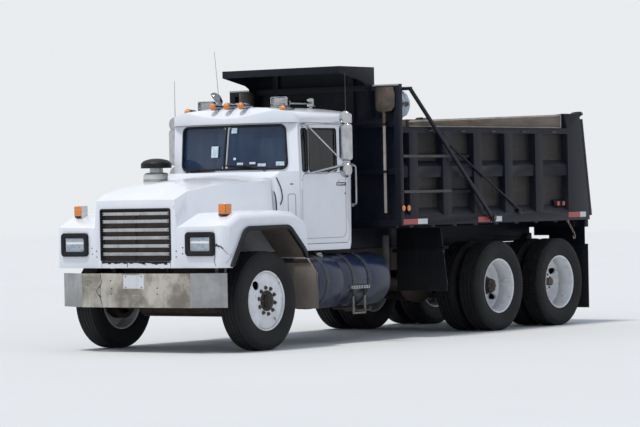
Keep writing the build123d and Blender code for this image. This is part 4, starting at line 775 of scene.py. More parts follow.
barrelShape = [
    (0.115, 0.317), (0.115, 0.3225), (0.1125, 0.324), (0.108, 0.3235), (0.106, 0.315), (0.1, 0.3115),
    (0.06, 0.308), (0.035, 0.296), (-0.03, 0.296), (-0.06, 0.308), (-0.1, 0.3115), (-0.106, 0.315),
    (-0.108, 0.3235), (-0.1125, 0.324), (-0.115, 0.3225), (-0.115, 0.317), (-0.111, 0.31), (-0.098, 0.3035),
    (-0.06, 0.299), (-0.03, 0.289), (0.035, 0.289), (0.06, 0.299), (0.098, 0.3035), (0.111, 0.31)]
frontWheel = {
    "y": 1.01,
    "disc": [
        (0.084, 0.3), (0.097, 0.3005), (0.101, 0.292), (0.108, 0.27), (0.1115, 0.252), (0.112, 0.24),
        (0.112, 0.178), (0.1145, 0.172), (0.1145, 0.118), (0.112, 0.1), (0.1, 0.1), (0.1, 0.238),
        (0.096, 0.262), (0.089, 0.285)],
    "hub": [
        (0.112, 0.112), (0.124, 0.11), (0.128, 0.1), (0.129, 0.08), (0.142, 0.076), (0.146, 0.068),
        (0.147, 0.046), (0.152, 0.042), (0.154, 0.03), (0.154, 0.0)],
    "nuts": 10,
    "nutRing": 0.1425,
    "capBolts": 6,
    "handHole": (0.246, 43.0, 0.05),     # out from the axle, degrees above ahead, radius
}
driveWheels = {
    "inner": 0.75,
    "outer": 1.085,
    "disc": [
        (-0.084, 0.3), (-0.1, 0.299), (-0.125, 0.282), (-0.15, 0.262), (-0.164, 0.25), (-0.167, 0.24),
        (-0.167, 0.1), (-0.155, 0.1), (-0.155, 0.236), (-0.148, 0.245), (-0.118, 0.262), (-0.096, 0.283)],
    "hub": [
        (-0.155, 0.11), (-0.09, 0.106), (-0.078, 0.1), (-0.075, 0.092), (0.0, 0.086), (0.012, 0.08),
        (0.018, 0.062), (0.02, 0.03), (0.026, 0.028), (0.03, 0.0)],
    "flange": [
        (-0.155, 0.128), (-0.084, 0.124), (-0.076, 0.119), (-0.073, 0.108), (-0.073, 0.055), (-0.066, 0.05),
        (-0.062, 0.0)],
    "nuts": 10,
    "nutRing": 0.1425,
    "capBolts": 8,
    "handHoles": {"first": (213.0, 33.0), "second": (150.0, 330.0)},
}


def around(x, y, radius, degrees):
    turn = math.radians(degrees)
    return Vector((x + radius * math.cos(turn), y, axleZ + radius * math.sin(turn)))


def addBarrel(part, x, y, side):
    part.use(rimPaint).lathe(barrelShape, (x, side * y, axleZ), (0, side, 0), 64, closed=True)


def makeFrontWheel(side, word):
    values, x = frontWheel, frontAxleX
    y, out = values["y"], Vector((0, side, 0))
    tyre = Part(f"tyreFront{word.title()}", f"wheel_front_{word}", "tyre_rubber").use(rubber)
    addTyre(tyre, x, y, side, False)
    tyre.done(replaces=[f"tyre_front_{word}"], smooth=30)
    rim = Part(f"rimFront{word.title()}", f"wheel_front_{word}", "rim_white")
    addBarrel(rim, x, y, side)
    far, degrees, radius = values["handHole"]
    hole = around(x, 0, far, degrees)
    drill = [(hole + out * (y + 0.05), hole + out * (y + 0.15), radius)]
    rim.lathe(values["disc"], (x, side * y, axleZ), out, 64, closed=True, holes=drill)
    rim.use(hubGrease).lathe(values["hub"], (x, side * y, axleZ), out, 40)
    rim.band(-0.13, 0.1, 0.062, 0.105, (x, side * y, axleZ), out, 32)
    drum = [
        (-0.138, 0.15), (-0.138, 0.205), (-0.035, 0.205), (-0.035, 0.1), (-0.05, 0.1), (-0.05, 0.19),
        (-0.125, 0.19)]
    rim.lathe(drum, (x, side * y, axleZ), out, 40, closed=True)
    rim.use(boltGrey)
    for number in range(values["nuts"]):
        rim.nut(around(x, side * (y + 0.1145), values["nutRing"], number * 36 + 10), out, 0.033, 0.018, 0.01)
    for number in range(values["capBolts"]):
        rim.nut(around(x, side * (y + 0.129), 0.09, number * 60), out, 0.014, 0.006, 0.004)
    stem = around(x, side * (y + 0.107), 0.268, 234)
    rim.use(brushedSteel).rod(stem, around(x, side * (y + 0.132), 0.215, 238), 0.006, sides=8)
    rim.done(replaces=[f"rim_front_{word}"])


def makeDriveWheels(axleName, x, side, word):
    values, out = driveWheels, Vector((0, side, 0))
    body = f"wheels_{axleName}_{word}"
    title = axleName.title() + word.title()
    tyres = Part(f"tyres{title}", body, "tyre_rubber").use(rubber)
    rims = Part(f"rims{title}", body, "rim_white")
    for y, face in ((values["inner"], -1), (values["outer"], 1)):
        addTyre(tyres, x, y, side, True)
        addBarrel(rims, x, y, side)
        disc = [(along * face, radius) for along, radius in values["disc"]]
        drill = []
        for degrees in values["handHoles"][axleName]:
            hole = around(x, 0, 0.246, degrees)
            drill.append((hole + out * (y - face * 0.2), hole + out * (y - face * 0.06), 0.042))
        rims.use(rimPaint).lathe(disc, (x, side * y, axleZ), out, 64, closed=True, holes=drill)
    outer = values["outer"]
    worn = axleName == "first"
    rims.use(hubGrease if worn else rimPaint).lathe(
        values["hub" if worn else "flange"], (x, side * outer, axleZ), out, 40)
    drum = [
        (-0.445, 0.165), (-0.445, 0.205), (-0.225, 0.205), (-0.225, 0.1), (-0.24, 0.1), (-0.24, 0.19),
        (-0.43, 0.19)]
    rims.use(hubGrease).lathe(drum, (x, side * outer, axleZ), out, 40, closed=True)
    rims.use(boltGrey)
    for number in range(values["nuts"]):
        rims.nut(around(x, side * (outer - 0.155), values["nutRing"], number * 36), out, 0.04, 0.026, 0.022)
    for number in range(values["capBolts"]):
        if worn:
            rims.nut(around(x, side * (outer + 0.015), 0.071, number * 45), out, 0.014, 0.006, 0.004)
        else:
            rims.use(trimBlack).nut(
                around(x, side * (outer - 0.074), 0.088, number * 45 + 10), out, 0.019, 0.012, 0.003)
    tyres.done(replaces=[f"tyres_{axleName}_{word}"], smooth=30)
    rims.done(replaces=[f"rims_{axleName}_{word}"])


for word, side in (("left", 1), ("right", -1)):
    makeFrontWheel(side, word)
    makeDriveWheels("first", firstDriveX, side, word)
    makeDriveWheels("second", secondDriveX, side, word)
print("wheels built")


# CAD nodes whose shape is right get worn edges and a finish. Columns: body, "" for the node's own, slot,
# finish, and the rounding of each node
dressedNodes = (
    ("chassis", "chassis_black", frameBlack, {
        "frame": 0.004, "crossmembers": 0.003, "frame_brackets": 0.003, "front_axle": 0.004}),
    ("", "chassis_black", frameBlack, {"knuckle_left": 0.003, "knuckle_right": 0.003, "tie_rod": 0.002}),
    ("chassis", "engine_iron", engineIron, {"driveline": 0.006}),
    ("chassis", "chassis_black", frameBlack, {"rear_suspension": 0.005}),
    ("chassis", "white_paint", whitePaint, {"cab_shell": 0.006}),
    ("chassis", "chassis_black", frameBlack, {"cab_floor": 0.003}),
    ("chassis", "white_paint", whitePaint, {"cab_front": 0.006, "cab_roof": 0.01}),
    ("", "white_paint", whitePaint, {"hood": 0.009}),
    ("hood", "trim_black", trimBlack, {"arch_flares": 0.01}),
    ("", "white_paint", whitePaint, {"door_left": 0.006, "door_right": 0.006}),
    ("bed", "body_black", bodyBlack, {"bed_floor": 0.005, "bed_sides": 0.006, "bulkhead": 0.005}),
    ("bed", "board_wood", boards, {"sideboards": 0.003}),
    ("", "body_black", bodyBlack, {"tailgate": 0.005, "sheet_bow": 0.003}),
    ("", "hoist_black", frameBlack, {"hoist_barrel": 0.003}),
    ("", "hoist_steel", hoistSteel, {"hoist_stage_1": 0.002, "hoist_stage_2": 0.002, "hoist_rod": 0.002}),
)
pieceNames = {
    "frame": "ladderFrame", "crossmembers": "crossMembers", "driveline": "driveLine", "hood": "hoodShell",
    "bulkhead": "frontWall", "sideboards": "sideBoards", "tailgate": "tailGate"}
# Inside faces that get another finish. Columns: node, finish, test on a face's middle and normal
insideFaces = {
    "cab_shell": (
        cabVinyl, lambda place, normal: normal.y * place.y < -0.05 or (normal.x > 0.5 and place.x < 0.93)),
    "cab_front": (cabVinyl, lambda place, normal: normal.x < -0.5 and place.z < 1.95),
    "cab_roof": (cabVinyl, lambda place, normal: normal.z < -0.2 and abs(place.y) < 0.83),
    "door_left": (cabVinyl, lambda place, normal: normal.y < -0.5),
    "door_right": (cabVinyl, lambda place, normal: normal.y > 0.5),
    "bed_sides": (bodyInside, lambda place, normal: abs(place.y) < 1.125 and normal.y * place.y < 0),
    "bed_sides_panels": (bodyPanel, lambda place, normal: abs(place.y) < 1.137 and normal.y * place.y > 0.5),
    "bed_floor": (bodyInside, lambda place, normal: normal.z > 0.9 and place.z > 1.35),
    "bulkhead": (
        bodyInside, lambda place, normal: normal.x < -0.3 and place.x < 0.385 and abs(place.y) < 1.13),
    "tailgate": (bodyInside, lambda place, normal: normal.x > 0.8),
    "hood": (hoodInside, lambda place, normal: normal.z < -0.25 and place.z > 1.2),
}

for body, slot, finish, nodes in dressedNodes:
    for node, edge in nodes.items():
        first, *others = node.split("_")
        name = pieceNames.get(node, first + "".join(word.title() for word in others))
        part = Part(name, body or node, slot).use(finish).cad(node, edge)
        for key in (node, node + "_panels"):
            if key in insideFaces:
                part.paint(*insideFaces[key])
        part.done(replaces=[node])
glazing = (("cab_glass", screenGlass), ("door_glass_left", doorGlass), ("door_glass_right", doorGlass))
for node, finish in glazing:
    cadNodes[node].data.materials.clear()
    cadNodes[node].data.materials.append(finish)
print("CAD forms dressed")


# Engine bay: block, covers, pipes and the radiator behind the grille
engineSet = {
    "cover": (2.42, 3.14, 1.58),       # valve covers: rear, front, top
    "coverCount": 3,
    "fan": (3.43, 1.25, 0.315, 8),      # x, height, reach, blades
    "core": (3.5705, 3.5745, 0.4, 1.1, 1.51),
}


def makeEngine():
    part = Part("engineBlock", "chassis", "engine_iron").use(engineIron).cad("engine", 0.012)
    rear, front, top = engineSet["cover"]
    long = (front - rear) / engineSet["coverCount"]
    for number in range(engineSet["coverCount"]):
        start = rear + number * long
        part.use(frameBlack).box(
            (start + 0.012, -0.135, top - 0.01), (start + long - 0.012, 0.135, top + 0.035), 0.02, 3)
        for x in (start + 0.05, start + long - 0.05):
            for y in (-0.11, 0.11):
                part.use(boltGrey).nut((x, y, top + 0.034), (0, 0, 1), 0.02, 0.01, 0.004)
    part.use(engineIron)
    for number in range(6):
        x = rear + 0.06 + number * 0.12
        part.pipe([(x, -0.3, 1.4), (x, -0.345, 1.4), (x, -0.375, 1.345), (x, -0.375, 1.3)], 0.028, 8)
        part.pipe([(x, 0.3, 1.42), (x, 0.34, 1.42), (x, 0.36, 1.39)], 0.024, 8)
    part.rod((rear, -0.375, 1.29), (front, -0.375, 1.29), 0.042, sides=20)
    part.rod((rear, 0.36, 1.375), (front, 0.36, 1.375), 0.036, sides=20)
    shell = [
        (-0.05, 0.03), (-0.05, 0.09), (-0.03, 0.118), (0.03, 0.118), (0.05, 0.09), (0.06, 0.055),
        (0.1, 0.052), (0.1, 0.0)]
    part.lathe(shell, (2.8, -0.43, 1.18), (1, 0, 0), 28)
    for x in (2.7, 2.86):
        can = [(0, 0.0), (0, 0.05), (0.01, 0.054), (0.22, 0.054), (0.235, 0.045), (0.235, 0.0)]
        part.use(cleanerWhite).lathe(can, (x, 0.385, 0.82), (0, 0, 1), 24)
    part.use(darkSteel).lathe(
        [(0, 0.0), (0, 0.07), (0.02, 0.078), (0.13, 0.078), (0.15, 0.06), (0.15, 0.0)], (3.1, 0.4, 1.16),
        (1, 0, 0), 28)
    part.use(engineIron).pipe(
        [(3.46, 0.25, 1.53), (3.4, 0.25, 1.53), (3.33, 0.22, 1.5), (3.28, 0.12, 1.46)], 0.032, 10)
    part.pipe([(3.47, -0.28, 1.07), (3.4, -0.28, 1.05), (3.34, -0.26, 1.02), (3.3, -0.24, 1.0)], 0.034, 10)
    fanX, fanZ, reach, blades = engineSet["fan"]
    part.use(frameBlack).lathe(
        [(-0.02, 0.0), (-0.02, 0.075), (0.012, 0.075), (0.02, 0.05), (0.02, 0.0)], (fanX, 0, fanZ), (1, 0, 0),
        24)
    for number in range(blades):
        turn = Matrix.Rotation(math.tau * number / blades, 4, "X")
        turn = turn @ Matrix.Translation((0, 0, reach * 0.58)) @ Matrix.Rotation(0.5, 4, "Z")
        part.box(
            (fanX - 0.003, -0.055, fanZ - reach * 0.36), (fanX + 0.003, 0.055, fanZ + reach * 0.36), 0.002, 1,
            turn)
    low, high, half, foot, head = engineSet["core"]
    part.use(fins).box((low, -half, foot), (high, half, head), 0.001, 1)
    part.use(frameBlack)
    for y in (-half - 0.016, half + 0.016):
        part.box((low - 0.004, y - 0.014, foot - 0.03), (high + 0.004, y + 0.014, head + 0.03), 0.003)
    part.done(replaces=["engine"])


makeEngine()


# Bumper: a bent plate set 6 mm back in its solid, so that the blank plate and the bolt heads stay inside
bumperSet = {
    "face": 3.743,
    "sheet": 0.008,
    "low": 0.489,
    "high": 0.856,
    "bend": ((3.743, 0.69), (3.7385, 0.728), (3.727, 0.755), (3.58, 1.136)),
    "crease": (-0.472, -0.492, -0.512, 0.011),    # dent in the right half and its depth
    "scars": (
        ((-0.48, 0.85), (-0.458, 0.752), 0.0045), ((-0.458, 0.752), (-0.54, 0.668), 0.005),
        ((-0.54, 0.668), (-0.48, 0.587), 0.006), ((-0.48, 0.587), (-0.452, 0.497), 0.0045),
        ((-0.54, 0.668), (-0.562, 0.7), 0.004)),
    "bolts": (
        (-0.654, 0.728), (-0.334, 0.778), (-0.32, 0.692), (-0.321, 0.633), (0.314, 0.699), (0.312, 0.636)),
    "plate": (-0.154, 0.134, 0.692, 0.838),
}


def makeBumper():
    values = bumperSet
    part = Part("bumperPlate", "chassis", "bright_steel").use(bumperSteel)
    bend, sheet = values["bend"], values["sheet"]
    start, middle, end, depth = values["crease"]
    dent = [(values["face"], start), (values["face"] - depth, middle), (values["face"], end)]
    skin = list(reversed(bend)) + [(values["face"], 0.0)] + dent + [(x, -y) for x, y in bend]
    inner = [(x - sheet, y * 0.9985) for x, y in skin]
    outline = [(x, y, values["low"]) for x, y in skin + inner[::-1]]
    shape = thickened(outline, (0, 0, values["high"] - values["low"]))
    bmesh.ops.recalc_face_normals(shape, faces=shape.faces)
    holes = [((3.7, y, z), (3.78, y, z), 0.0085) for y, z in values["bolts"]]
    part.take(drilled(shape, holes), 0.0022, 2, 40)
    # rolled edges along the top and bottom
    for z, up in ((values["low"], 1), (values["high"], -1)):
        for side in (1, -1):
            lip = [
                (3.738, side * 0.02), (3.738, side * 0.69), (3.729, side * 0.735), (3.69, side * 0.735),
                (3.69, side * 0.02)]
            part.plate([(x, y, z) for x, y in lip], (0, 0, up * 0.01), 0.003)
    part.paint(brushedSteel, lambda place, normal: abs(place.y) > 0.757)
    for (y, z), (far, top), radius in values["scars"]:
        part.use(darkSteel).rod((3.7405, y, z), (3.7405, far, top), radius, sides=6)
    for y, z in values["bolts"]:
        part.use(boltGrey).nut((3.738, y, z), (1, 0, 0), 0.013, 0.003, 0.001)
    low, high, foot, head = values["plate"]
    part.use(platePaint).box((3.7432, low, foot), (3.7452, high, head), 0.0008, 1)
    ridge = ring(
        (3.7452, (low + high) / 2, (foot + head) / 2), (0, (high - low) / 2 - 0.006, 0),
        (0, 0, (head - foot) / 2 - 0.006), 0.012)
    part.pipe(ridge, 0.0012, 4, closed=True)
    for y in (low + 0.035, high - 0.035):
        for z in (foot + 0.014, head - 0.014):
            part.use(boltGrey).nut((3.7448, y, z), (1, 0, 0), 0.01, 0.0028, 0.0)
    for y in (-0.386, 0.386):
        part.use(frameBlack).box((3.7, y - 0.02, 0.53), (3.7345, y + 0.02, 0.6), 0.006)
    part.done(replaces=["bumper"])


makeBumper()


# Fuel tank: drum with pressed ends, weld beads, filler and gauge plug
tankSet = {
    "y": 0.77,
    "z": 0.695,
    "front": back(1.03),
    "rear": back(2.44),
    "head": [
        (0.0, 0.0), (0.0, 0.17), (0.01, 0.182), (0.01, 0.205), (0.0, 0.217), (0.0, 0.255), (0.006, 0.28),
        (0.02, 0.2955), (0.034, 0.2995), (0.04, 0.2975), (0.046, 0.3)],
    "seams": (0.47, 0.94),
    "cap": ((1.55, 0.83, 0.95), (0.0, 0.51, 0.86)),
    "straps": (back(1.2), back(1.7), back(2.0)),
}


def makeTank():
    values = tankSet
    long = values["front"] - values["rear"]
    profile = list(values["head"])
    for seam in values["seams"]:
        profile += [(seam - 0.004, 0.2997), (seam, 0.2985), (seam + 0.004, 0.2997)]
    profile += [(long - along, radius) for along, radius in reversed(values["head"])]
    part = Part("fuelTank", "chassis", "tank_blue").use(tankPaint)
    part.lathe(profile, (values["rear"], values["y"], values["z"]), (1, 0, 0), 96)
    place, lean = values["cap"]
    part.lathe([(0.0, 0.0), (0.0, 0.052), (0.03, 0.046), (0.042, 0.046), (0.042, 0.0)], place, lean, 28)
    part.use(brushedSteel)
    part.lathe(
        [(0.04, 0.0), (0.04, 0.05), (0.046, 0.052), (0.06, 0.051), (0.064, 0.044), (0.066, 0.0)], place, lean,
        28)
    top = Vector(place) + Vector(lean) * 0.064
    part.box(top - Vector((0.04, 0.007, 0.004)), top + Vector((0.04, 0.007, 0.01)), 0.003)
    part.use(boltGrey).rod(
        (values["front"] - 0.004, 0.7, 0.52), (values["front"] + 0.006, 0.7, 0.52), 0.022, sides=20)
    part.nut((values["front"] + 0.004, 0.7, 0.52), (1, 0, 0), 0.022, 0.01, 0.0)
    for x in (0.8, 1.45):
        part.nut((x, 0.77, 0.99), (0, 0, 1), 0.045, 0.012, 0.004)
    part.done(replaces=["fuel_tank"])


makeTank()


# Straps, steps, side boxes and air tank
sideSet = {
    "step": (0.905, 1.255, 1.06, 1.092, 0.601, 0.636),
    "stepHoles": 7,
    "box": (back(1.75), back(1.05), -1.06, 0.48, 0.9),
    "airTank": (back(3.1), back(2.4), -0.7, 0.76, 0.15),
}


def makeSideParts():
    values = sideSet
    part = Part("strapsAndBoxes", "chassis", "chassis_black").use(frameBlack)
    part.cad("tank_straps_and_boxes", 0.004)
    y, z = tankSet["y"], tankSet["z"]
    reach = 0.303
    part.paint(
        strapPaint,
        lambda place, normal: place.y > 0.4 and abs(math.hypot(place.y - y, place.z - z) - reach) < 0.008)
    rear, front, inner, outer, low, high = values["step"]
    holes = []
    for number in range(values["stepHoles"]):
        x = rear + (front - rear) * (number + 0.5) / values["stepHoles"]
        holes.append(((x, inner - 0.02, (high + low) / 2), (x, outer + 0.02, (high + low) / 2), 0.0115))
    part.use(brushedSteel).take(drilled(brick((rear, inner, low), (front, outer, high)), holes), 0.002, 1, 40)
    for x in (rear + 0.075, front - 0.055):
        part.use(frameBlack).box((x - 0.004, 1.045, 0.5), (x + 0.004, 1.075, 0.606), 0.002)
        part.use(strapSteel).box((x - 0.013, 1.06, 0.33), (x + 0.013, 1.076, 0.52), 0.004)
    part.box((rear + 0.062, 1.06, 0.318), (front - 0.042, 1.078, 0.34), 0.004)
    for x in tankSet["straps"]:
        for lift, reach in ((0.306, 0.0), (0.0, 0.306)):
            part.use(boltGrey).rod(
                (x - 0.022, y + reach, z + lift), (x + 0.022, y + reach, z + lift), 0.01, sides=10)
        part.use(frameBlack).box((x - 0.031, y - 0.3, z - 0.27), (x + 0.031, y - 0.27, z + 0.1), 0.006)
    # lid, latches and hinges of the box on the right
    rear, front, outer, low, high = values["box"]
    part.use(brushedSteel)
    lid = ring(
        ((rear + front) / 2, outer - 0.001, 0.802), ((front - rear) / 2 - 0.02, 0, 0), (0, 0, 0.078), 0.02)
    part.pipe(lid, 0.005, 6, closed=True)
    for x in (rear + 0.14, front - 0.14):
        part.box((x - 0.02, outer - 0.012, 0.765), (x + 0.02, outer + 0.001, 0.84), 0.004)
        part.nut((x, outer + 0.0, 0.802), (0, -1, 0), 0.022, 0.01, 0.004)
    for z in (0.5, 0.72):
        for number in range(9):
            x = rear + 0.05 + number * 0.075
            part.box((x - 0.022, outer - 0.036, z - 0.001), (x + 0.022, outer - 0.006, z + 0.005), 0.002, 1)
    rear, front, y, z, radius = values["airTank"]
    part.use(frameBlack)
    for x in (rear + 0.1, front - 0.1):
        part.band(-0.02, 0.02, radius - 0.004, radius + 0.005, (x, y, z), (1, 0, 0))
    part.use(boltGrey)
    part.nut((rear + 0.35, y, z - radius + 0.002), (0, 0, -1), 0.024, 0.016, 0.012)
    part.nut((front - 0.004, y, z + 0.05), (1, 0, 0), 0.03, 0.016, 0.006)
    part.done(replaces=["tank_straps_and_boxes"])


makeSideParts()
print("engine, bumper and tank built")


# Roof: five bullet lamps
roofLamps = {
    "places": (
        (0.958, 0.674, 2.622), (0.815, 0.199, 2.668), (0.812, 0.0, 2.67), (0.815, -0.199, 2.668),
        (0.958, -0.674, 2.622)),
    "lens": [
        (0.006, 0.0405), (0.012, 0.0395), (0.02, 0.0355), (0.028, 0.029), (0.034, 0.02), (0.038, 0.01),
        (0.0395, 0.0)],
    "bullet": [
        (0.006, 0.036), (0.006, 0.0418), (0.0, 0.042), (-0.004, 0.0405), (-0.05, 0.0375), (-0.1, 0.033),
        (-0.15, 0.024), (-0.19, 0.0145), (-0.215, 0.0065), (-0.228, 0.0)],
}


def makeRoofLamps():
    part = Part("roofLamps", "chassis", "amber_lens")
    for behind, y, z in roofLamps["places"]:
        centre = (back(behind), y, z)
        part.use(amberLens).lathe(roofLamps["lens"], centre, (1, 0, 0), 32)
        part.use(bulletSteel).lathe(roofLamps["bullet"], centre, (1, 0, 0), 32)
        part.use(whitePaint).plate([
            (back(behind) - 0.15, y - 0.013, z - 0.08), (back(behind) - 0.15, y - 0.013, z - 0.018),
            (back(behind) - 0.06, y - 0.013, z - 0.03),
            (back(behind) - 0.07, y - 0.013, z - 0.08)], (0, 0.026, 0), 0.004)
    part.done(replaces=["roof_lamps"])


makeRoofLamps()


# Air horns, spot lamp and whips on the roof
hornSet = {
    "places": ((0.426, 2.709), (-0.616, 2.69)),
    "mouth": (back(1.2), 0.1075, 0.06),
    "neck": (back(1.37), 0.045, 0.03),
    "tail": (back(1.8), 0.045),
    "slats": 5,
}
spotSet = {
    "place": (back(1.23), -0.42, 2.8),
    "aim": (0.35, -0.72, -0.6),
    "shell": [
        (0.0, 0.0), (0.0, 0.03), (0.008, 0.058), (0.022, 0.078), (0.042, 0.089), (0.052, 0.0905),
        (0.058, 0.0915), (0.064, 0.0905), (0.066, 0.085)],
    "lens": [(0.062, 0.086), (0.066, 0.07), (0.069, 0.045), (0.0705, 0.02), (0.0707, 0.0)],
}


def makeRoofFittings():
    part = Part("roofFittings", "chassis", "bright_steel").use(brightSteel)
    front, wide, high = hornSet["mouth"]
    throat, thin, flat = hornSet["neck"]
    tail, box = hornSet["tail"]
    for y, z in hornSet["places"]:
        outside = (
            (throat, thin, flat, 0.01), (front - 0.06, wide * 0.965, high * 0.96, 0.014),
            (front - 0.004, wide, high, 0.016), (front, wide - 0.002, high - 0.002, 0.015),
            (front - 0.001, wide - 0.01, high - 0.01, 0.01), (front - 0.03, wide - 0.014, high - 0.014, 0.01),
            (front - 0.032, 0.02, 0.01, 0.004))
        part.use(brightSteel).loft(
            [ring((x, y, z), (0, across, 0), (0, 0, up), corner) for x, across, up, corner in outside])
        for number in range(hornSet["slats"]):
            step = z + (number - (hornSet["slats"] - 1) / 2) * 0.018
            part.box(
                (front - 0.022, y - wide + 0.012, step - 0.003),
                (front - 0.01, y + wide - 0.012, step + 0.003), 0.001, 1)
        tube = [(0.0, 0.034), (-0.025, 0.021), (-0.43, 0.0195), (-0.44, 0.0)]
        part.lathe(tube, (throat + 0.004, y, z), (1, 0, 0), 20)
        part.box((tail - 0.06, y - box, z - box), (tail + 0.002, y + box, z + box), 0.012, 3)
        part.rod((tail - 0.03, y, z + box - 0.004), (tail - 0.03, y, z + box + 0.004), 0.03, sides=24)
        for x in (front - 0.12, tail - 0.03):
            part.box((x - 0.02, y - 0.014, 2.6), (x + 0.02, y + 0.014, z - 0.022), 0.004)
            part.box((x - 0.04, y - 0.03, 2.64), (x + 0.04, y + 0.03, 2.65), 0.003)
    part.use(bulletSteel)
    place, aim = spotSet["place"], spotSet["aim"]
    part.lathe(spotSet["shell"], place, aim, 48)
    part.use(lampGlass).lathe(spotSet["lens"], place, aim, 48)
    part.use(brightSteel).pipe([
        (place[0], place[1], 2.62), (place[0], place[1], 2.72), (place[0] - 0.005, place[1] + 0.01, 2.79),
        (place[0] + 0.004, place[1] - 0.01, 2.81)], 0.012, 10)
    part.rod((place[0], place[1], 2.64), (place[0], place[1], 2.655), 0.034, 0.026, 24)
    # whip aerial: ball, spring and wire
    foot, tip = Vector((back(1.49), -0.6225, 2.6)), Vector((back(1.4215), -0.6396, 3.326))
    along = (tip - foot).normalized()
    part.use(brushedSteel).rod(foot, foot + along * 0.055, 0.018, 0.013, 16)
    part.use(darkSteel).rod(foot + along * 0.055, foot + along * 0.125, 0.01, 0.008, 14)
    part.rod(foot + along * 0.12, tip, 0.003, 0.0018, 8)
    part.done(replaces=["roof_fittings"])


makeRoofFittings()


# Air cleaner beside the cowl
cleanerSet = {
    "x": back(0.785),
    "y": -1.01,
    "can": [
        (1.52, 0.07), (1.52, 0.12), (1.528, 0.142), (1.545, 0.149), (1.6, 0.149), (1.606, 0.1465),
        (1.612, 0.149), (1.745, 0.149), (1.75, 0.15), (1.768, 0.15), (1.773, 0.149), (1.9, 0.149),
        (1.928, 0.142), (1.945, 0.12), (1.95, 0.076), (2.002, 0.074)],
    "cap": [
        (2.002, 0.074), (2.0, 0.15), (1.999, 0.17), (2.003, 0.1755), (2.046, 0.1755), (2.054, 0.172),
        (2.068, 0.16), (2.084, 0.14), (2.098, 0.1), (2.107, 0.05), (2.1095, 0.0)],
    "slots": 40,
}


def makeAirCleaner():
    x, y = cleanerSet["x"], cleanerSet["y"]
    part = Part("airCleaner", "chassis", "cleaner_white").use(cleanerWhite)
    part.lathe(cleanerSet["can"], (x, y, 0), (0, 0, 1), 64)
    part.use(trimBlack).lathe(cleanerSet["cap"], (x, y, 0), (0, 0, 1), 64)
    for number in range(cleanerSet["slots"]):
        turn = math.tau * number / cleanerSet["slots"]
        place = Vector((x + 0.1735 * math.cos(turn), y + 0.1735 * math.sin(turn), 2.024))
        part.box(
            place - Vector((0.0018, 0.004, 0.018)), place + Vector((0.0018, 0.004, 0.018)), 0.0, 1,
            Matrix.Rotation(turn, 4, "Z"))
    part.use(brushedSteel)
    for z in (1.575, 1.86):
        part.band(z - 0.014, z + 0.014, 0.1485, 0.1498, (x, y, 0), (0, 0, 1), 64)
        part.box((x - 0.06, y + 0.14, z - 0.02), (x + 0.02, y + 0.205, z + 0.02), 0.004)
    part.use(trimBlack)
    part.band(1.49, 1.53, 0.066, 0.0695, (x - 0.06, y, 0), (0, 0, 1), 40)
    part.pipe([
        (x - 0.06, y, 1.525), (x - 0.06, y, 1.4), (x - 0.06, y, 1.27), (x - 0.06, y + 0.015, 1.245),
        (x - 0.06, y + 0.06, 1.232), (x - 0.06, -0.806, 1.23)], 0.06, 14)
    for z in (1.33, 1.47):
        part.use(brushedSteel).band(z - 0.007, z + 0.007, 0.06, 0.0635, (x - 0.06, y, 0), (0, 0, 1), 40)
    part.done(replaces=["air_cleaner"])


makeAirCleaner()


# Exhaust: muffler with its guard, whose holes are black dots of painted shade, clamps and stack
stackSet = {
    "x": back(2.2),
    "y": -0.78,
    "profile": [
        (0.862, 0.05), (0.862, 0.0595), (1.15, 0.0595), (1.185, 0.08), (1.2, 0.112), (1.212, 0.1145),
        (2.225, 0.1145), (2.24, 0.111), (2.252, 0.0875), (2.86, 0.0875), (2.8645, 0.0855), (2.8645, 0.08),
        (2.7, 0.079), (2.7, 0.0)],
    "clamps": (1.17, 1.26, 2.19, 2.275),
    "guard": (1.32, 2.14, 0.1148),
    "rows": 16,
}


def makeStack():
    x, y = stackSet["x"], stackSet["y"]
    part = Part("exhaustStack", "chassis", "dark_steel").use(darkSteel)
    part.lathe(stackSet["profile"], (x, y, 0), (0, 0, 1), 56)
    low, high, reach = stackSet["guard"]
    for row in range(stackSet["rows"]):
        z = low + (high - low) * (row + 0.5) / stackSet["rows"]
        for step in range(11):
            turn = math.radians(-95 + 19 * step + (9.5 if row % 2 else 0))
            out = Vector((math.cos(turn), -math.sin(turn), 0))
            place = Vector((x, y, z)) + out * (reach - 0.003)
            # painted shade: a black dot where each hole of the guard would be
            part.use(frameBlack).rod(place, place + out * 0.0031, 0.009, sides=6)
    part.use(brushedSteel)
    for z in stackSet["clamps"]:
        reach = 0.115 if 1.2 < z < 2.24 else 0.0885 if z > 2.24 else 0.072
        part.band(z - 0.012, z + 0.012, reach - 0.01, reach, (x, y, 0), (0, 0, 1))
    part.use(darkSteel).pipe(
        [(x, y, 0.89), (x, y + 0.01, 0.885), (x, y + 0.1, 0.9), (x, y + 0.2, 0.9), (x, -0.434, 0.9)], 0.052,
        14)
    part.box((x - 0.03, y + 0.09, 1.6), (x + 0.03, y + 0.125, 1.66), 0.004)
    part.done(replaces=["exhaust_stack"])


makeStack()
print("roof, air cleaner and stack built")


# Mud flaps, each held to its bar by a strip and bolts
flapSet = {
    "places": (
        (0.9, 0.62, 1.15, 0.985, 0.94), (3.4, 0.485, 1.212, 1.252, 0.985), (6.52, 0.61, 1.217, 0.985, 0.96)),
    "bolts": 5,
    "cuts": ((0.9, 1.15, 0.8, 37.0), (3.4, 1.212, 0.42, 7.0)),      # back, corner of the cut (y, z), lean
}


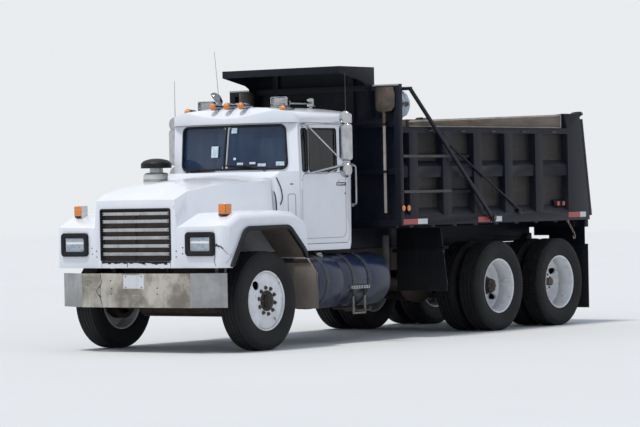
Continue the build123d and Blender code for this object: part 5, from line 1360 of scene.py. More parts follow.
def makeFlaps():
    part = Part("mudFlaps", "chassis", "flap_rubber").use(flapRubber).cad("mud_flaps", 0.003)
    for behind, y, z, lean in flapSet["cuts"]:
        for side in (1, -1):
            points = [
                vertex for vertex in part.whole.verts
                if abs(vertex.co.x - back(behind)) < 0.05 and vertex.co.y * side > 0]
            faces = list({face for vertex in points for face in vertex.link_faces})
            edges = list({edge for vertex in points for edge in vertex.link_edges})
            away = (0, side * math.cos(math.radians(lean)), math.sin(math.radians(lean)))
            cut = bmesh.ops.bisect_plane(
                part.whole, geom=points + edges + faces, plane_co=(0, side * y, z), plane_no=away,
                clear_outer=True)
            rim = [item for item in cut["geom_cut"] if isinstance(item, bmesh.types.BMEdge)]
            bmesh.ops.holes_fill(part.whole, edges=rim, sides=0)
    part.settle()
    part.paint(muddyFlap, lambda place, normal: place.x > 1.5 and abs(place.x - back(0.9)) < 0.012)
    part.paint(frameBlack, lambda place, normal: abs(place.x - back(0.9)) > 0.012 and place.x > 1.5)
    for behind, inner, outer, top, bar in flapSet["places"]:
        for side in (1, -1):
            face = back(behind) - 0.006
            low, high = sorted((side * (inner + 0.01), side * (outer - 0.01)))
            level = min(top - 0.05, bar + 0.035)
            part.use(frameBlack).box(
                (face - 0.005, low, level - 0.018), (face - 0.0002, high, level + 0.018), 0.001, 1)
            for number in range(flapSet["bolts"]):
                y = low + (high - low) * (number + 0.5) / flapSet["bolts"]
                part.use(boltGrey).nut((face - 0.004, y, level), (-1, 0, 0), 0.016, 0.008, 0.003)
    part.done(replaces=["mud_flaps"])


makeFlaps()


# Grille: black surround with bright bars over the radiator's mesh
grilleSet = {
    "front": back(-0.83),
    "half": 0.49,
    "low": 0.984,
    "high": 1.553,
    "bars": (1.498, 1.414, 1.322, 1.237, 1.15, 1.064),
    "chipped": 1.064,
}


def makeGrille():
    values = grilleSet
    x, half = values["front"], values["half"]
    part = Part("grilleBars", "hood", "bright_steel").use(trimBlack)
    middle = (values["low"] + values["high"]) / 2
    tall = (values["high"] - values["low"]) / 2
    part.loft(sections((x, 0, middle), half, tall, 6, (
        (-0.002, 0.0, 0.026), (0.008, 0.0, 0.026), (0.012, 0.004, 0.023), (0.012, 0.015, 0.014),
        (0.009, 0.019, 0.011), (-0.002, 0.019, 0.011))), closed=True)
    for z in values["bars"]:
        bright = chippedBar if z == values["chipped"] else satinBar
        part.use(bright)
        bar = [
            (-0.012, -0.018), (0.002, -0.018), (0.0065, -0.0135), (0.008, -0.006), (0.008, 0.006),
            (0.0065, 0.0135), (0.002, 0.018), (-0.012, 0.018)]
        part.plate([(x + along, -0.448, z + up) for along, up in bar], (0, 0.916, 0), 0.0)
        for y in (-0.438, 0.458):
            part.use(boltGrey).nut((x + 0.0075, y, z), (1, 0, 0), 0.01, 0.003, 0.0)
    part.done(replaces=["grille"])


makeGrille()


# Core behind the bars and the headlamps' bezels
trimSet = {
    "post": (0.44, 0.485),
    "bezel": (0.871, 1.166, 0.193, 0.128),      # middle y and z, half width, half height
}


def makeHoodTrim():
    part = Part("hoodTrim", "hood", "trim_black").use(trimBlack)
    for side in (1, -1):
        y, z, wide, tall = trimSet["bezel"]
        rows = (
            (3.686, 0.0, 0.044), (3.708, 0.0, 0.044), (3.713, 0.005, 0.04), (3.7145, 0.02, 0.032),
            (3.712, 0.046, 0.03), (3.704, 0.055, 0.026), (3.686, 0.056, 0.026))
        part.loft([
            ring((x, side * y, z), (-0.004, side * (wide - inset), 0), (0, 0, tall - inset), corner, 6)
            for x, inset, corner in rows], closed=True)
    part.use(fins).box((3.681, -0.486, 0.986), (3.6925, 0.486, 1.551), 0.001, 1)
    low, high = trimSet["post"]
    for side in (1, -1):
        part.use(trimBlack).box((3.693, side * low, 0.992), (3.699, side * high, 1.545), 0.001, 1)
    part.box((3.693, -0.012, 0.992), (3.6985, 0.012, 1.545), 0.001, 1)
    part.done(replaces=["hood_trim"])


makeHoodTrim()


# Headlamps and the amber turn lamps on the fenders
lampSet = {
    "pod": (back(-0.76), back(-0.8), 0.692, 1.058, 1.052, 1.278),
    "lens": (back(-0.797), back(-0.8215), 0.737, 1.001, 1.088, 1.25),
    "turn": (back(-0.492), back(-0.599), 0.951, 1.057, 1.4975, 1.589),
}


def makeHoodLamps():
    part = Part("hoodLamps", "hood", "lamp_glass")
    for side in (1, -1):
        rear, front, near, far, low, high = lampSet["pod"]
        centre = (0, side * (near + far) / 2, (low + high) / 2)
        part.use(trimBlack).loft(sections(
            centre, (far - near) / 2, (high - low) / 2, 5,
            ((rear, 0.0, 0.034), (front - 0.004, 0.0, 0.034), (front, 0.005, 0.029))))
        rear, front, near, far, low, high = lampSet["lens"]
        lens = ((0, side * (near + far) / 2, (low + high) / 2), (far - near) / 2, (high - low) / 2, 5)
        part.use(brightSteel).loft(sections(*lens, (
            (rear, 0.0, 0.022), (front - 0.008, 0.0, 0.022), (front - 0.004, 0.003, 0.02),
            (front - 0.005, 0.009, 0.016))))
        part.use(headLens).loft(sections(*lens, (
            (rear, 0.01, 0.015), (front - 0.006, 0.01, 0.015), (front - 0.002, 0.014, 0.012),
            (front - 0.0005, 0.035, 0.01))))
        rear, front, near, far, low, high = lampSet["turn"]
        split = near + 0.03
        part.use(cleanerWhite).box(
            (rear, side * near, low - 0.04), (front - 0.004, side * split, high), 0.006)
        part.use(amberLens).box(
            (rear + 0.002, side * (split - 0.004), low - 0.022), (front, side * far, high - 0.002), 0.008, 3)
        part.box(
            (front - 0.01, side * (near + 0.004), low - 0.02), (front, side * (split + 0.004), high - 0.004),
            0.004, 2)
        part.use(boltGrey).box(
            (front - 0.0005, side * (far - 0.008), low - 0.014),
            (front + 0.0008, side * (far - 0.004), high - 0.008), 0.0)
        part.use(trimBlack).box(
            (rear - 0.002, side * (near + 0.004), low - 0.036),
            (front - 0.002, side * (far - 0.002), low - 0.02), 0.003)
    part.done(replaces=["hood_lamps"])


makeHoodLamps()


# Door mirrors: tall head, two round spot mirrors, tubes and the whip on the head
mirrorSet = {
    "x": back(1.376),
    "y": 1.213,
    "head": (2.24, 0.08, 0.21, 0.045),      # middle height, half width, half height, corner
    "spots": ((2.508, 0.08), (1.93, 0.085)),
    "tube": 0.0105,
    "whip": (2.44, 3.01),
}


def makeMirrors(side, word):
    values = mirrorSet
    x, y = values["x"], side * values["y"]
    middle, wide, tall, corner = values["head"]
    part = Part(f"mirrors{word.title()}", f"door_{word}", "bright_steel").use(brightSteel)
    shell = (
        (-0.022, 0.008), (-0.03, 0.006), (-0.03, 0.001), (-0.026, 0.0), (-0.004, 0.0), (0.01, 0.006),
        (0.018, 0.018), (0.0205, 0.036))
    glass = ((-0.0215, 0.0085), (-0.0235, 0.009), (-0.0236, 0.03))
    for finish, rows in ((brightSteel, shell), (mirrorFace, glass)):
        part.use(finish).loft(sections(
            (x, y, middle), wide, tall, 6, [(ahead, inset, corner - inset * 0.8) for ahead, inset in rows]))
    for z, radius in values["spots"]:
        shell = [
            (-0.01, radius - 0.006), (-0.012, radius - 0.002), (-0.008, radius), (0.0, radius * 0.985),
            (0.012, radius * 0.86), (0.02, radius * 0.62), (0.0235, radius * 0.3), (0.0245, 0.0)]
        part.use(brightSteel).lathe(shell, (x, y, z), (1, 0, 0), 40)
        part.use(mirrorFace).lathe(
            [(-0.0095, radius - 0.0055), (-0.0125, radius * 0.6), (-0.0135, radius * 0.3), (-0.014, 0.0)],
            (x, y, z), (1, 0, 0), 40)
    tube = values["tube"]
    part.use(brightSteel).rod((x - 0.003, y, 1.88), (x - 0.003, y, 2.56), 0.008, sides=12)
    head = (x - 0.003, y, 2.466)
    top = (back(1.04), side * 0.866, 2.43)
    part.pipe([
        top, (back(1.075), side * 0.905, 2.445), (back(1.12), side * 0.95, 2.452),
        (x + 0.1, y - side * 0.09, 2.462), head], tube, 10)
    low = (x - 0.003, y, 1.995)
    part.rod((back(1.15), side * 0.872, 2.425), low, tube * 0.9, sides=12)
    for along in (1.06, 1.41):
        foot = (back(along), side * 0.94, 1.902)
        part.rod(foot, low, tube, sides=12)
        part.rod((back(along), side * 0.868, 1.902), (back(along), side * 0.94, 1.902), 0.01, sides=12)
    part.rod((back(1.42), side * 0.94, 1.902), (back(1.05), side * 0.94, 1.902), 0.0095, sides=12)
    for place in (top, (back(1.15), side * 0.872, 2.425)):
        part.box(
            Vector(place) - Vector((0.022, 0.01, 0.016)), Vector(place) + Vector((0.022, 0.01, 0.016)), 0.004)
    for z in (2.475, 1.985):
        part.box((x - 0.02, y - 0.016, z - 0.018), (x + 0.012, y + 0.016, z + 0.018), 0.004)
    for along in (1.06, 1.41):
        part.use(boltGrey).nut((back(along), side * 0.878, 1.902), (0, side, 0), 0.022, 0.006, 0.0)
    foot, tip = values["whip"]
    part.use(darkSteel).rod((x - 0.02, y, foot), (x - 0.02, y, foot + 0.08), 0.0075, 0.004, 10)
    part.rod((x - 0.02, y, foot + 0.07), (x - 0.02, y, tip), 0.0034, 0.002, 8)
    part.done(replaces=[f"mirrors_{word}"])


makeMirrors(1, "left")
makeMirrors(-1, "right")
print("grille, lamps and mirrors built")


# Rolled sheet on its shaft, in front of the load space. The cloth is one long spiral.
rollSet = {
    "x": back(2.614),
    "z": 2.68,
    "half": 1.19,
    "inner": 0.03,
    "outer": 0.104,
    "turns": 13,
    "perTurn": 28,
    "across": 54,
    "bunch": (0.84, 0.35, 0.074),      # left end: from y, over a length, how far it stands out
    "closing": (1.105, 0.085),      # where the outer turns begin to close over the end, over a length
    "bag": 0.84,           # share of the cloth that ends inside the outer turns
    "ties": (-0.95, -0.33, 0.3, 0.86),
}


def makeSheetRoll():
    values = rollSet
    steps = values["turns"] * values["perTurn"]
    shape = bmesh.new()
    bmesh.ops.create_grid(shape, x_segments=values["across"], y_segments=steps, size=0.5)
    def wound(step, y):
        part = step / steps
        radius = values["inner"] + (values["outer"] - values["inner"]) * part
        turn = math.tau * values["turns"] * part + 0.8
        loose = part ** 3
        start, over, bulge = values["bunch"]
        end = max(0.0, (y - start) / over)
        lump = noise.noise(Vector((y * 3.1, math.cos(turn) * 1.4, math.sin(turn) * 1.4))) * 0.016
        lump += noise.noise(Vector((y * 9.0, math.cos(turn) * 3.0, math.sin(turn) * 3.0 + 7.0))) * 0.006
        tied = min(abs(y - tie) for tie in values["ties"])
        radius += loose * (lump - 0.012 * math.exp(-(tied / 0.05) ** 2))
        # the outer turns stand out at the left end and close over it, the inner turns end before it
        folds = noise.noise(Vector((y * 14.0, math.cos(turn) * 2.2, math.sin(turn) * 2.2 + 3.0)))
        if part > values["bag"]:
            radius += bulge * math.sin(min(end * 1.5, 1.0) * math.pi / 2) + 0.02 * folds * min(end * 2, 1.0)
            start, over = values["closing"]
            close = max(0.0, (y - start) / over)
            radius = radius * math.sqrt(max(0.0, 1 - close * close)) * (1 - 0.3 * close) + 0.03 * close
            y += 0.01 * folds * close
        else:
            y = min(y, 1.1) + 0.006 * part
        x = values["x"] + radius * math.cos(turn)
        return (min(x, 0.3745 + 0.003 * part), y, values["z"] + radius * math.sin(turn))
    for vertex in shape.verts:
        step, y = round((vertex.co.y + 0.5) * steps), vertex.co.x * 2 * values["half"]
        vertex.co = wound(step, y)
    cloth = Part("sheetCloth", "bed", "sheet_fabric").use(tarp)
    bmesh.ops.recalc_face_normals(shape, faces=shape.faces)
    cloth.take(shape, join=False)
    made = cloth.done(replaces=["sheet_roll"], smooth=80)
    area = sum(polygon.area for polygon in made.data.polygons)
    wide = 2 * values["half"]
    area / wide
    shaft = Part("sheetShaft", "bed", "body_black").use(darkSteel)
    x, z = values["x"], values["z"]
    shaft.rod((x, -1.214, z), (x, 1.214, z), 0.0245, sides=24)
    for side in (1, -1):
        low, high = sorted((side * 1.2005, side * 1.2115))
        shaft.box((x - 0.014, low, z - 0.012), (0.38, high, z + 0.012), 0.004)
        shaft.use(boltGrey).nut((0.365, side * 1.2105, z), (0, side, 0), 0.014, 0.004, 0.0)
        shaft.use(darkSteel)
    for tie in values["ties"]:
        loop = [
            (x + 0.108 * math.cos(math.radians(turn)), tie + 0.004 * math.sin(math.radians(turn * 3)),
            z + 0.108 * math.sin(math.radians(turn)) - 0.002) for turn in range(0, 360, 20)]
        shaft.use(trimBlack).pipe(loop, 0.005, 6, closed=True)
    shaft.done()


makeSheetRoll()


# Lamps of the load body
bodyLampSet = {
    "front": ((2.48, 2.585), 1.49),
    "rear": ((5.878, 6.004), 1.496),
    "lens": [(0.004, 0.0335), (0.01, 0.0325), (0.0155, 0.026), (0.0178, 0.014), (0.0183, 0.0)],
    "collar": [(0.0, 0.0), (0.0, 0.0378), (0.007, 0.0378), (0.009, 0.0345), (0.006, 0.033), (0.004, 0.033)],
}


def makeBodyLamps():
    part = Part("bodyLamps", "bed", "amber_lens")
    for side in (1, -1):
        out = (0, side, 0)
        places, z = bodyLampSet["front"]
        for behind in places:
            centre = (back(behind), side * 1.2192, z)
            part.use(trimBlack).lathe(bodyLampSet["collar"], centre, out, 36)
            part.use(amberLens).lathe(bodyLampSet["lens"], centre, out, 36)
        places, z = bodyLampSet["rear"]
        rear, front = back(6.066), back(5.818)
        pod = [(1.1302, 1.452), (1.18, 1.466), (1.18, 1.526), (1.1302, 1.548)]
        part.use(bodyBlack).plate(
            [(rear, side * y, height) for y, height in pod], (front - rear, 0, 0), 0.006)
        for behind in places:
            centre = (back(behind), side * 1.1802, z)
            part.use(trimBlack).lathe(
                [(along, radius * 0.95) for along, radius in bodyLampSet["collar"]], centre, out, 36)
            part.use(redLens).lathe(
                [(along * 1.2, radius * 0.95) for along, radius in bodyLampSet["lens"]], centre, out, 36)
    part.done(replaces=["body_lamps"])


makeBodyLamps()


# Shovel on the front wall
shovelSet = {
    "x": 0.474,
    "y": 1.028,
    "socket": [(2.44, 0.0168), (2.44, 0.0185), (2.52, 0.0195), (2.6, 0.0165), (2.64, 0.008), (2.645, 0.0)],
}


def makeShovel():
    x, y = shovelSet["x"], shovelSet["y"]
    part = Part("shovelTool", "bed", "dark_steel").use(shovelBlade).cad("shovel", 0.0015, 2, 40)
    part.paint(
        shovelWood, lambda place, normal: place.z < 2.52 and math.hypot(place.x - x, place.y - y) < 0.0175)
    part.paint(
        trimBlack, lambda place, normal: place.z < 2.5 and math.hypot(place.x - x, place.y - y) > 0.0175)
    part.use(shovelBlade).lathe(shovelSet["socket"], (x, y, 0), (0, 0, 1), 24)
    part.use(brushedSteel)
    for z in (2.47, 2.5):
        part.rod((x, y - 0.0205, z), (x, y + 0.0205, z), 0.0035, sides=8)
    part.done(replaces=["shovel"])


makeShovel()


# Cab inside: seats as padded pieces, dashboard with its dials, column and wheel
seatSet = {
    "y": (0.42, -0.42),
    "x": back(1.5),
    "cushion": (0.235, 0.225, 1.335, 1.462),        # half length, half width, low, high
    "panels": 5,
}


def padForm(name, low, high, lean):
    # crowned pad with channels sewn across it, from a box that is divided and eased
    values = seatSet
    shape = bmesh.new()
    bmesh.ops.create_cube(shape, size=1)
    bmesh.ops.subdivide_edges(shape, edges=shape.edges, cuts=19, use_grid_fill=True)
    for easing in range(5):
        bmesh.ops.smooth_vert(
            shape, verts=shape.verts, factor=0.5, use_axis_x=True, use_axis_y=True, use_axis_z=True)
    low, high = Vector(low), Vector(high)
    size = [max(abs(vertex.co[axis]) for vertex in shape.verts) * 2 for axis in range(3)]
    for vertex in shape.verts:
        a, b, c = (vertex.co[axis] / size[axis] for axis in range(3))
        pinch = 1 - 0.045 * (4 * a * a) * (4 * b * b)
        crown = 0.016 * math.cos(math.pi * a) * math.cos(math.pi * b)
        channel = 0.0
        if abs(b) < 0.42 and abs(a) < 0.4:
            channel = -0.007 * math.exp(-((math.sin(math.pi * (b + 0.5) * values["panels"])) / 0.22) ** 2)
        c = c + (crown + channel) * (6 if c > 0 else 0.5) * (1 if c > 0 else -1) * 0.9
        vertex.co = lean @ Vector((
            low.x + (a * pinch + 0.5) * (high.x - low.x), low.y + (b * pinch + 0.5) * (high.y - low.y),
            low.z + (c + 0.5) * (high.z - low.z)))
    bmesh.ops.recalc_face_normals(shape, faces=shape.faces)
    part = Part(name, "chassis", "cab_vinyl").use(seatCloth)
    part.take(shape, join=False)
    return part.done(smooth=70)


def makeSeats():
    values = seatSet
    for number, y in enumerate(values["y"]):
        word = ("Left", "Right")[number]
        length, wide, low, high = values["cushion"]
        pad = padForm(
            f"seatCushion{word}", (values["x"] - length, y - wide, low),
            (values["x"] + length, y + wide, high - 0.012), Matrix.Identity(4))
        lean = Matrix.Rotation(-math.atan2(0.078, 0.61), 4, "Y")
        upright = Matrix.Rotation(math.radians(90), 4, "Y")
        turn = Matrix.Translation((values["x"] - 0.19, y, 1.45)) @ lean @ upright
        rest = padForm(f"seatBack{word}", (-0.605, -wide, -0.05), (0.0, wide, 0.036), turn)


makeSeats()

cabSet = {
    "wheel": (back(1.18), 0.42, 1.79),
    "foot": (back(1.0), 0.42, 1.64),
    "rim": (0.2115, 0.0125),
    "dials": ((0.3, 0.045), (0.4, 0.052), (0.52, 0.052), (0.62, 0.036), (0.225, 0.03)),
    # papers that stand behind the windscreen: x, y, foot, half width, height, turn
    "papers": (
        (1.985, 0.13, 1.935, 0.075, 0.085, 10), (1.96, 0.34, 1.935, 0.06, 0.07, -14),
        (1.93, 0.57, 1.935, 0.055, 0.075, -25), (1.995, -0.06, 1.935, 0.035, 0.08, 4),
        (1.965, -0.235, 2.06, 0.04, 0.13, 12), (1.945, -0.45, 1.935, 0.07, 0.05, 20)),
}


def makeCabInside():
    part = Part("cabFittings", "chassis", "cab_vinyl").use(cabVinyl).cad("cab_interior", 0.012, 3, 40)
    # of the solid only the dashboard and the pedestals stay; seats and wheel are made anew
    stale = []
    for face in part.whole.faces:
        place = face.calc_center_median()
        seat = place.x < 1.655 and place.z > 1.331
        wheel = place.x < 1.829 and abs(place.y - 0.42) < 0.24 and place.z > 1.5
        if seat or wheel:
            stale.append(face)
    bmesh.ops.delete(part.whole, geom=stale, context="FACES")
    part.settle()
    for y in (0.42, -0.42):
        x = seatSet["x"]
        part.use(frameBlack).box((x - 0.225, y - 0.215, 1.305), (x + 0.225, y + 0.215, 1.336), 0.008)
        part.use(cabVinyl).box((x - 0.235, y - 0.205, 1.34), (x - 0.18, y + 0.205, 1.47), 0.015, 3)
    centre, foot = Vector(cabSet["wheel"]), Vector(cabSet["foot"])
    aim = (centre - foot).normalized()
    part.use(cabVinyl).rod(foot, centre + aim * 0.01, 0.024, 0.02, 20)
    part.lathe([(-0.02, 0.0), (-0.02, 0.04), (0.004, 0.045), (0.018, 0.036), (0.022, 0.0)], centre, aim, 32)
    across = Vector((0, 1, 0))
    up = aim.cross(across).normalized()
    reach, thick = cabSet["rim"]

    def outward(degrees):
        turn = math.radians(degrees)
        return across * math.cos(turn) + up * math.sin(turn)

    loop = [centre + aim * 0.012 + outward(turn) * (reach + 0.004) for turn in range(0, 360, 24)]
    part.pipe(loop, thick, 10, closed=True)
    for turn in (90, 210, 330):
        out = outward(turn)
        part.use(brushedSteel).rod(
            centre + out * 0.03 + aim * 0.006, centre + out * reach + aim * 0.012, 0.008, sides=10)
    for y, radius in cabSet["dials"]:
        place = Vector((back(1.052), y, 1.745))
        part.use(brushedSteel).lathe(
            [(0.0, radius - 0.004), (-0.004, radius), (0.004, radius), (0.004, radius - 0.004)], place,
            (-1, 0, 0), 28)
        part.use(dialFace).rod(
            place - Vector((0.001, 0, 0)), place - Vector((-0.002, 0, 0)), radius - 0.004, sides=28)
    part.use(cabVinyl).box((1.835, -0.62, 1.66), (1.8295, -0.2, 1.815), 0.003)
    for number in range(8):
        part.use(brushedSteel).rod(
            (1.829, -0.15 + number * 0.035, 1.7), (1.818, -0.15 + number * 0.035, 1.712), 0.004, sides=8)
    part.use(darkSteel).pipe(
        [(1.58, 0.04, 1.09), (1.59, 0.04, 1.25), (1.6, 0.05, 1.42), (1.585, 0.06, 1.54)], 0.01, 8)
    part.use(cabVinyl).lathe(
        [(-0.035, 0.0), (-0.03, 0.018), (-0.005, 0.027), (0.018, 0.024), (0.03, 0.0)], (1.584, 0.06, 1.555),
        (0, 0, 1), 24)
    part.lathe([(1.086, 0.055), (1.12, 0.045), (1.16, 0.02), (1.17, 0.012)], (1.578, 0.04, 0), (0, 0, 1), 20)
    for y in (0.34, 0.46, 0.62):
        part.use(darkSteel).pipe(
            [(1.86, y, 1.56), (1.82, y, 1.42), (1.8, y, 1.22), (1.785, y, 1.16)], 0.007, 6)
        part.use(trimBlack).box((1.765, y - 0.035, 1.13), (1.79, y + 0.035, 1.19), 0.005)
    for x, y, z, wide, tall, turn in cabSet["papers"]:
        lean = Matrix.Rotation(math.radians(turn), 4, "Z") @ Matrix.Rotation(math.radians(-28), 4, "Y")
        part.use(paperWhite).box((x - 0.001, y - wide, z), (x + 0.001, y + wide, z + tall), 0.0, 1, lean)
    part.done(replaces=["cab_interior"])


makeCabInside()
print("body fittings and cab inside built")


# Cab trim: rubbers, wipers, handles and seams. The cab's side leans in above the belt.
def cabSide(z):
    return 0.875 + 0.01 * (z - 1.045) / 0.855 if z < 1.9 else 0.885 - 0.021 * (z - 1.9) / 0.57


def flank(path, side, depth):
    # a path of (x, z) laid on the cab's side, depth under its skin
    return [(x, side * (cabSide(z) - depth), z) for x, z in path]


def screenPoint(y, z, out=0.004):
    rise = (z - 1.93) / 0.54
    middle, edge = 2.145 - 0.08 * rise, 0.79 - 0.02 * rise
    return (middle + (1.935 - middle) * abs(y) / edge + out, y, z)


screenSet = {
    "outline": [(-0.742, 1.962), (0.742, 1.962), (0.716, 2.443), (-0.716, 2.443)],
    "corner": 0.062,
    "rubber": 0.0125,
    "divider": (0.017, 1.966, 2.438),
    "cards": (
        (-0.236, 2.1, -0.12, 2.225), (0.062, 2.365, 0.13, 2.425), (0.608, 1.995, 0.705, 2.04),
        (0.15, 2.01, 0.222, 2.036), (0.296, 2.016, 0.366, 2.04), (0.395, 1.99, 0.49, 2.022),
        (0.104, 2.066, 0.134, 2.092)),
    "wipers": (
        ((2.05, 0.5, 1.926), (0.255, 2.006), ((0.415, 1.974), (0.03, 2.006))),
        ((1.985, -0.65, 1.926), (-0.4, 1.975), ((-0.59, 1.945), (-0.157, 1.952)))),
}


def makeScreenTrim():
    values = screenSet
    part = Part("screenTrim", "chassis", "trim_black").use(trimBlack)
    path = rounded(values["outline"], values["corner"])
    foot, head = (Vector((0, values["outline"][number][1])) for number in (0, 2))
    path = path[:6] + [foot] + path[6:18] + [head] + path[18:]
    part.pipe([screenPoint(*point) for point in path], values["rubber"], 8, closed=True)
    half, low, high = values["divider"]
    strip = [
        (half, 0.0), (0.01, 0.01), (-0.01, 0.01), (-half, 0.0), (-half * 0.8, -0.012), (half * 0.8, -0.012)]
    part.loft([
        [Vector(screenPoint(0, z, 0.003 + out)) + Vector((-abs(y) * 0.25, y, 0)) for y, out in strip]
        for z in (low, high)])
    for pivot, middle, (inner, outer) in values["wipers"]:
        pivot, hold = Vector(pivot), Vector(screenPoint(*middle, out=0.03))
        part.use(darkSteel).rod(
            pivot - Vector((0.0, 0, 0.004)), pivot + Vector((0.008, 0, 0.03)), 0.014, 0.011, 16)
        part.use(trimBlack).pipe(
            [pivot + Vector((0.01, 0, 0.024)), pivot.lerp(hold, 0.35) + Vector((0.022, 0, 0.014)), hold],
            0.0075, 6)
        first, last = (Vector(screenPoint(*end, out=0.017)) for end in (inner, outer))
        part.rod(first, last, 0.0085, sides=6)
        lift = Vector((0.008, 0, 0))
        part.rod(first.lerp(last, 0.25) + lift, first.lerp(last, 0.75) + lift, 0.0045, sides=6)
        part.rod(hold, first.lerp(last, 0.5), 0.005, sides=8)
    for low, foot, high, head in values["cards"]:
        corners = [
            screenPoint(y, z, 0.0012) for y, z in ((low, foot), (high, foot), (high, head), (low, head))]
        part.use(paperWhite).plate(corners, (0.0008, 0, 0), 0.0)
    # seal of the back window
    window = ring((0.8695, 0, 2.16), (0, 0.421, 0), (0, 0, 0.171), 0.06, 6)
    part.pipe(window, 0.009, 6, closed=True)
    part.done()


makeScreenTrim()

doorSet = {
    "vent": [(1.86, 1.925), (1.76, 1.925), (1.76, 2.4), (1.86, 2.4)],
    "main": [(1.73, 1.925), (1.215, 1.925), (1.2, 2.4), (1.73, 2.4)],
    "handle": (1.134, 1.781, 0.092, 0.019),
    "key": (1.064, 1.673),
    "seam": [(1.045, 1.905), (1.865, 1.905), (1.865, 1.18), (1.045, 1.18)],
    "hinges": (1.33, 1.77),
}


def makeDoorTrim(side, word):
    part = Part(f"doorTrim{word.title()}", f"door_{word}", "trim_black").use(trimBlack)
    for name in ("vent", "main"):
        path = rounded(doorSet[name], 0.026)
        part.pipe(flank(path, side, 0.004), 0.0095, 6, closed=True)
        part.pipe(flank(path, side, 0.041), 0.007, 6, closed=True)
    part.use(brushedSteel).box(
        (1.742, side * (cabSide(2.16) - 0.008), 1.93), (1.75, side * (cabSide(2.16) + 0.009), 2.395), 0.002)
    # seams of the pressed panel
    part.use(trimBlack).pipe(flank(rounded(doorSet["seam"], 0.075), side, 0.0005), 0.0022, 4, closed=True)
    x, z, wide, tall = doorSet["handle"]
    y = cabSide(z)
    # out from the skin, inset of length and of height, corner
    cup = ((-0.004, -0.004, -0.004, 0.02), (0.003, 0, 0, 0.018))
    grip = ((0.001, 0.01, 0.004, 0.013), (0.012, 0.022, 0.008, 0.009), (0.015, 0.04, 0.012, 0.006))
    for finish, rows in ((darkSteel, cup), (brightSteel, grip)):
        part.use(finish).loft([
            ring((x, side * (y + out), z), (wide - less, 0, 0), (0, 0, tall - lower), corner)
            for out, less, lower, corner in rows])
    x, z = doorSet["key"]
    y = side * cabSide(z)
    part.use(brushedSteel).rod((x, y - side * 0.003, z), (x, y + side * 0.003, z), 0.012, sides=20)
    part.use(trimBlack).box((x - 0.002, y, z - 0.007), (x + 0.002, y + side * 0.0036, z + 0.007), 0.0)
    for z in doorSet["hinges"]:
        y = side * (cabSide(z) + 0.003)
        part.use(whitePaint).rod((1.901, y, z - 0.055), (1.901, y, z + 0.055), 0.0095, sides=14)
        part.box(
            (1.85, side * (cabSide(z) - 0.002), z - 0.045), (1.898, side * (cabSide(z) + 0.005), z + 0.045),
            0.003)
    # lining, arm rest and winder on the inside
    inner = side * (cabSide(1.5) - 0.045)
    part.use(cabVinyl).box((1.03, inner - side * 0.01, 1.2), (1.85, inner, 1.86), 0.008, 3)
    part.box((1.14, inner - side * 0.05, 1.56), (1.5, inner - side * 0.005, 1.6), 0.012, 3)
    part.use(brightSteel).rod(
        (1.66, inner - side * 0.005, 1.46), (1.66, inner - side * 0.03, 1.46), 0.013, sides=16)
    part.rod((1.66, inner - side * 0.028, 1.46), (1.6, inner - side * 0.03, 1.38), 0.0065, sides=10)
    part.use(trimBlack).rod(
        (1.6, inner - side * 0.025, 1.38), (1.6, inner - side * 0.055, 1.38), 0.012, sides=14)
    part.done()


makeDoorTrim(1, "left")
makeDoorTrim(-1, "right")

cabTrimSet = {
    "grab": (0.915, 1.54, 1.99),
    "panel": [(2.061, 1.416), (1.972, 1.416), (1.972, 1.677), (2.061, 1.677)],
    "slot": (2.016, 1.787),
    "seam": [(0.982, 1.119), (1.898, 1.119), (1.898, 2.453), (0.982, 2.453)],
    "dripRail": (
        (1.935, 0.868, 2.475), (1.9, 0.88, 2.477), (1.4, 0.884, 2.477), (1.0, 0.884, 2.477),
        (0.975, 0.878, 2.47)),
    "cowlRubber": (
        (2.236, 0.3, 1.79), (2.226, 0.62, 1.782), (2.2, 0.752, 1.73), (2.196, 0.77, 1.5),
        (2.194, 0.772, 1.12)),
    "cable": (
        (2.2, 0.772, 1.862), (2.166, 0.787, 1.8), (2.14, 0.8, 1.715), (2.13, 0.806, 1.615),
        (2.16, 0.792, 1.56)),
}


def cowlY(x):
    # side of the cowl, from behind the hood to the door
    return 0.77 + (2.19 - x) * 0.115 / 0.265


def makeCabTrim():
    part = Part("cabTrim", "chassis", "trim_black")
    x, low, high = cabTrimSet["grab"]
    for side in (1, -1):
        bar = (
            (x, 0.874, high), (x, 0.929, high), (x, 0.934, high - 0.06), (x, 0.934, low + 0.06),
            (x, 0.929, low), (x, 0.874, low))
        part.use(brushedSteel).pipe(sided(bar, side), 0.0105, 10)
        for z in (low, high):
            part.rod((x, side * 0.878, z), (x, side * 0.889, z), 0.02, sides=20)
        panel = rounded(cabTrimSet["panel"], 0.022)
        part.use(trimBlack).pipe(
            [(x, side * (cowlY(x) - 0.0005), z) for x, z in panel], 0.0028, 4, closed=True)
        along, z = cabTrimSet["slot"]
        part.box(
            (along - 0.02, side * (cowlY(along) - 0.004), z - 0.006),
            (along + 0.02, side * (cowlY(along) + 0.003), z + 0.006), 0.002, 1,
            Matrix.Rotation(-side * math.atan2(0.115, 0.265), 4, "Z"))
        part.use(whitePaint).pipe(sided(cabTrimSet["dripRail"], side), 0.006, 6)
        part.use(trimBlack).pipe(sided(cabTrimSet["cowlRubber"], side), 0.007, 6)
        seam = rounded(cabTrimSet["seam"], 0.059)
        part.use(trimBlack).pipe(flank(seam, side, 0.0065), 0.0042, 4, closed=True)
        part.pipe(sided(cabTrimSet["cable"], side), 0.0055, 6)
    # floor mat
    part.use(trimBlack).box((1.0, -0.81, 1.0855), (1.9, 0.81, 1.092), 0.004)
    part.done()


makeCabTrim()

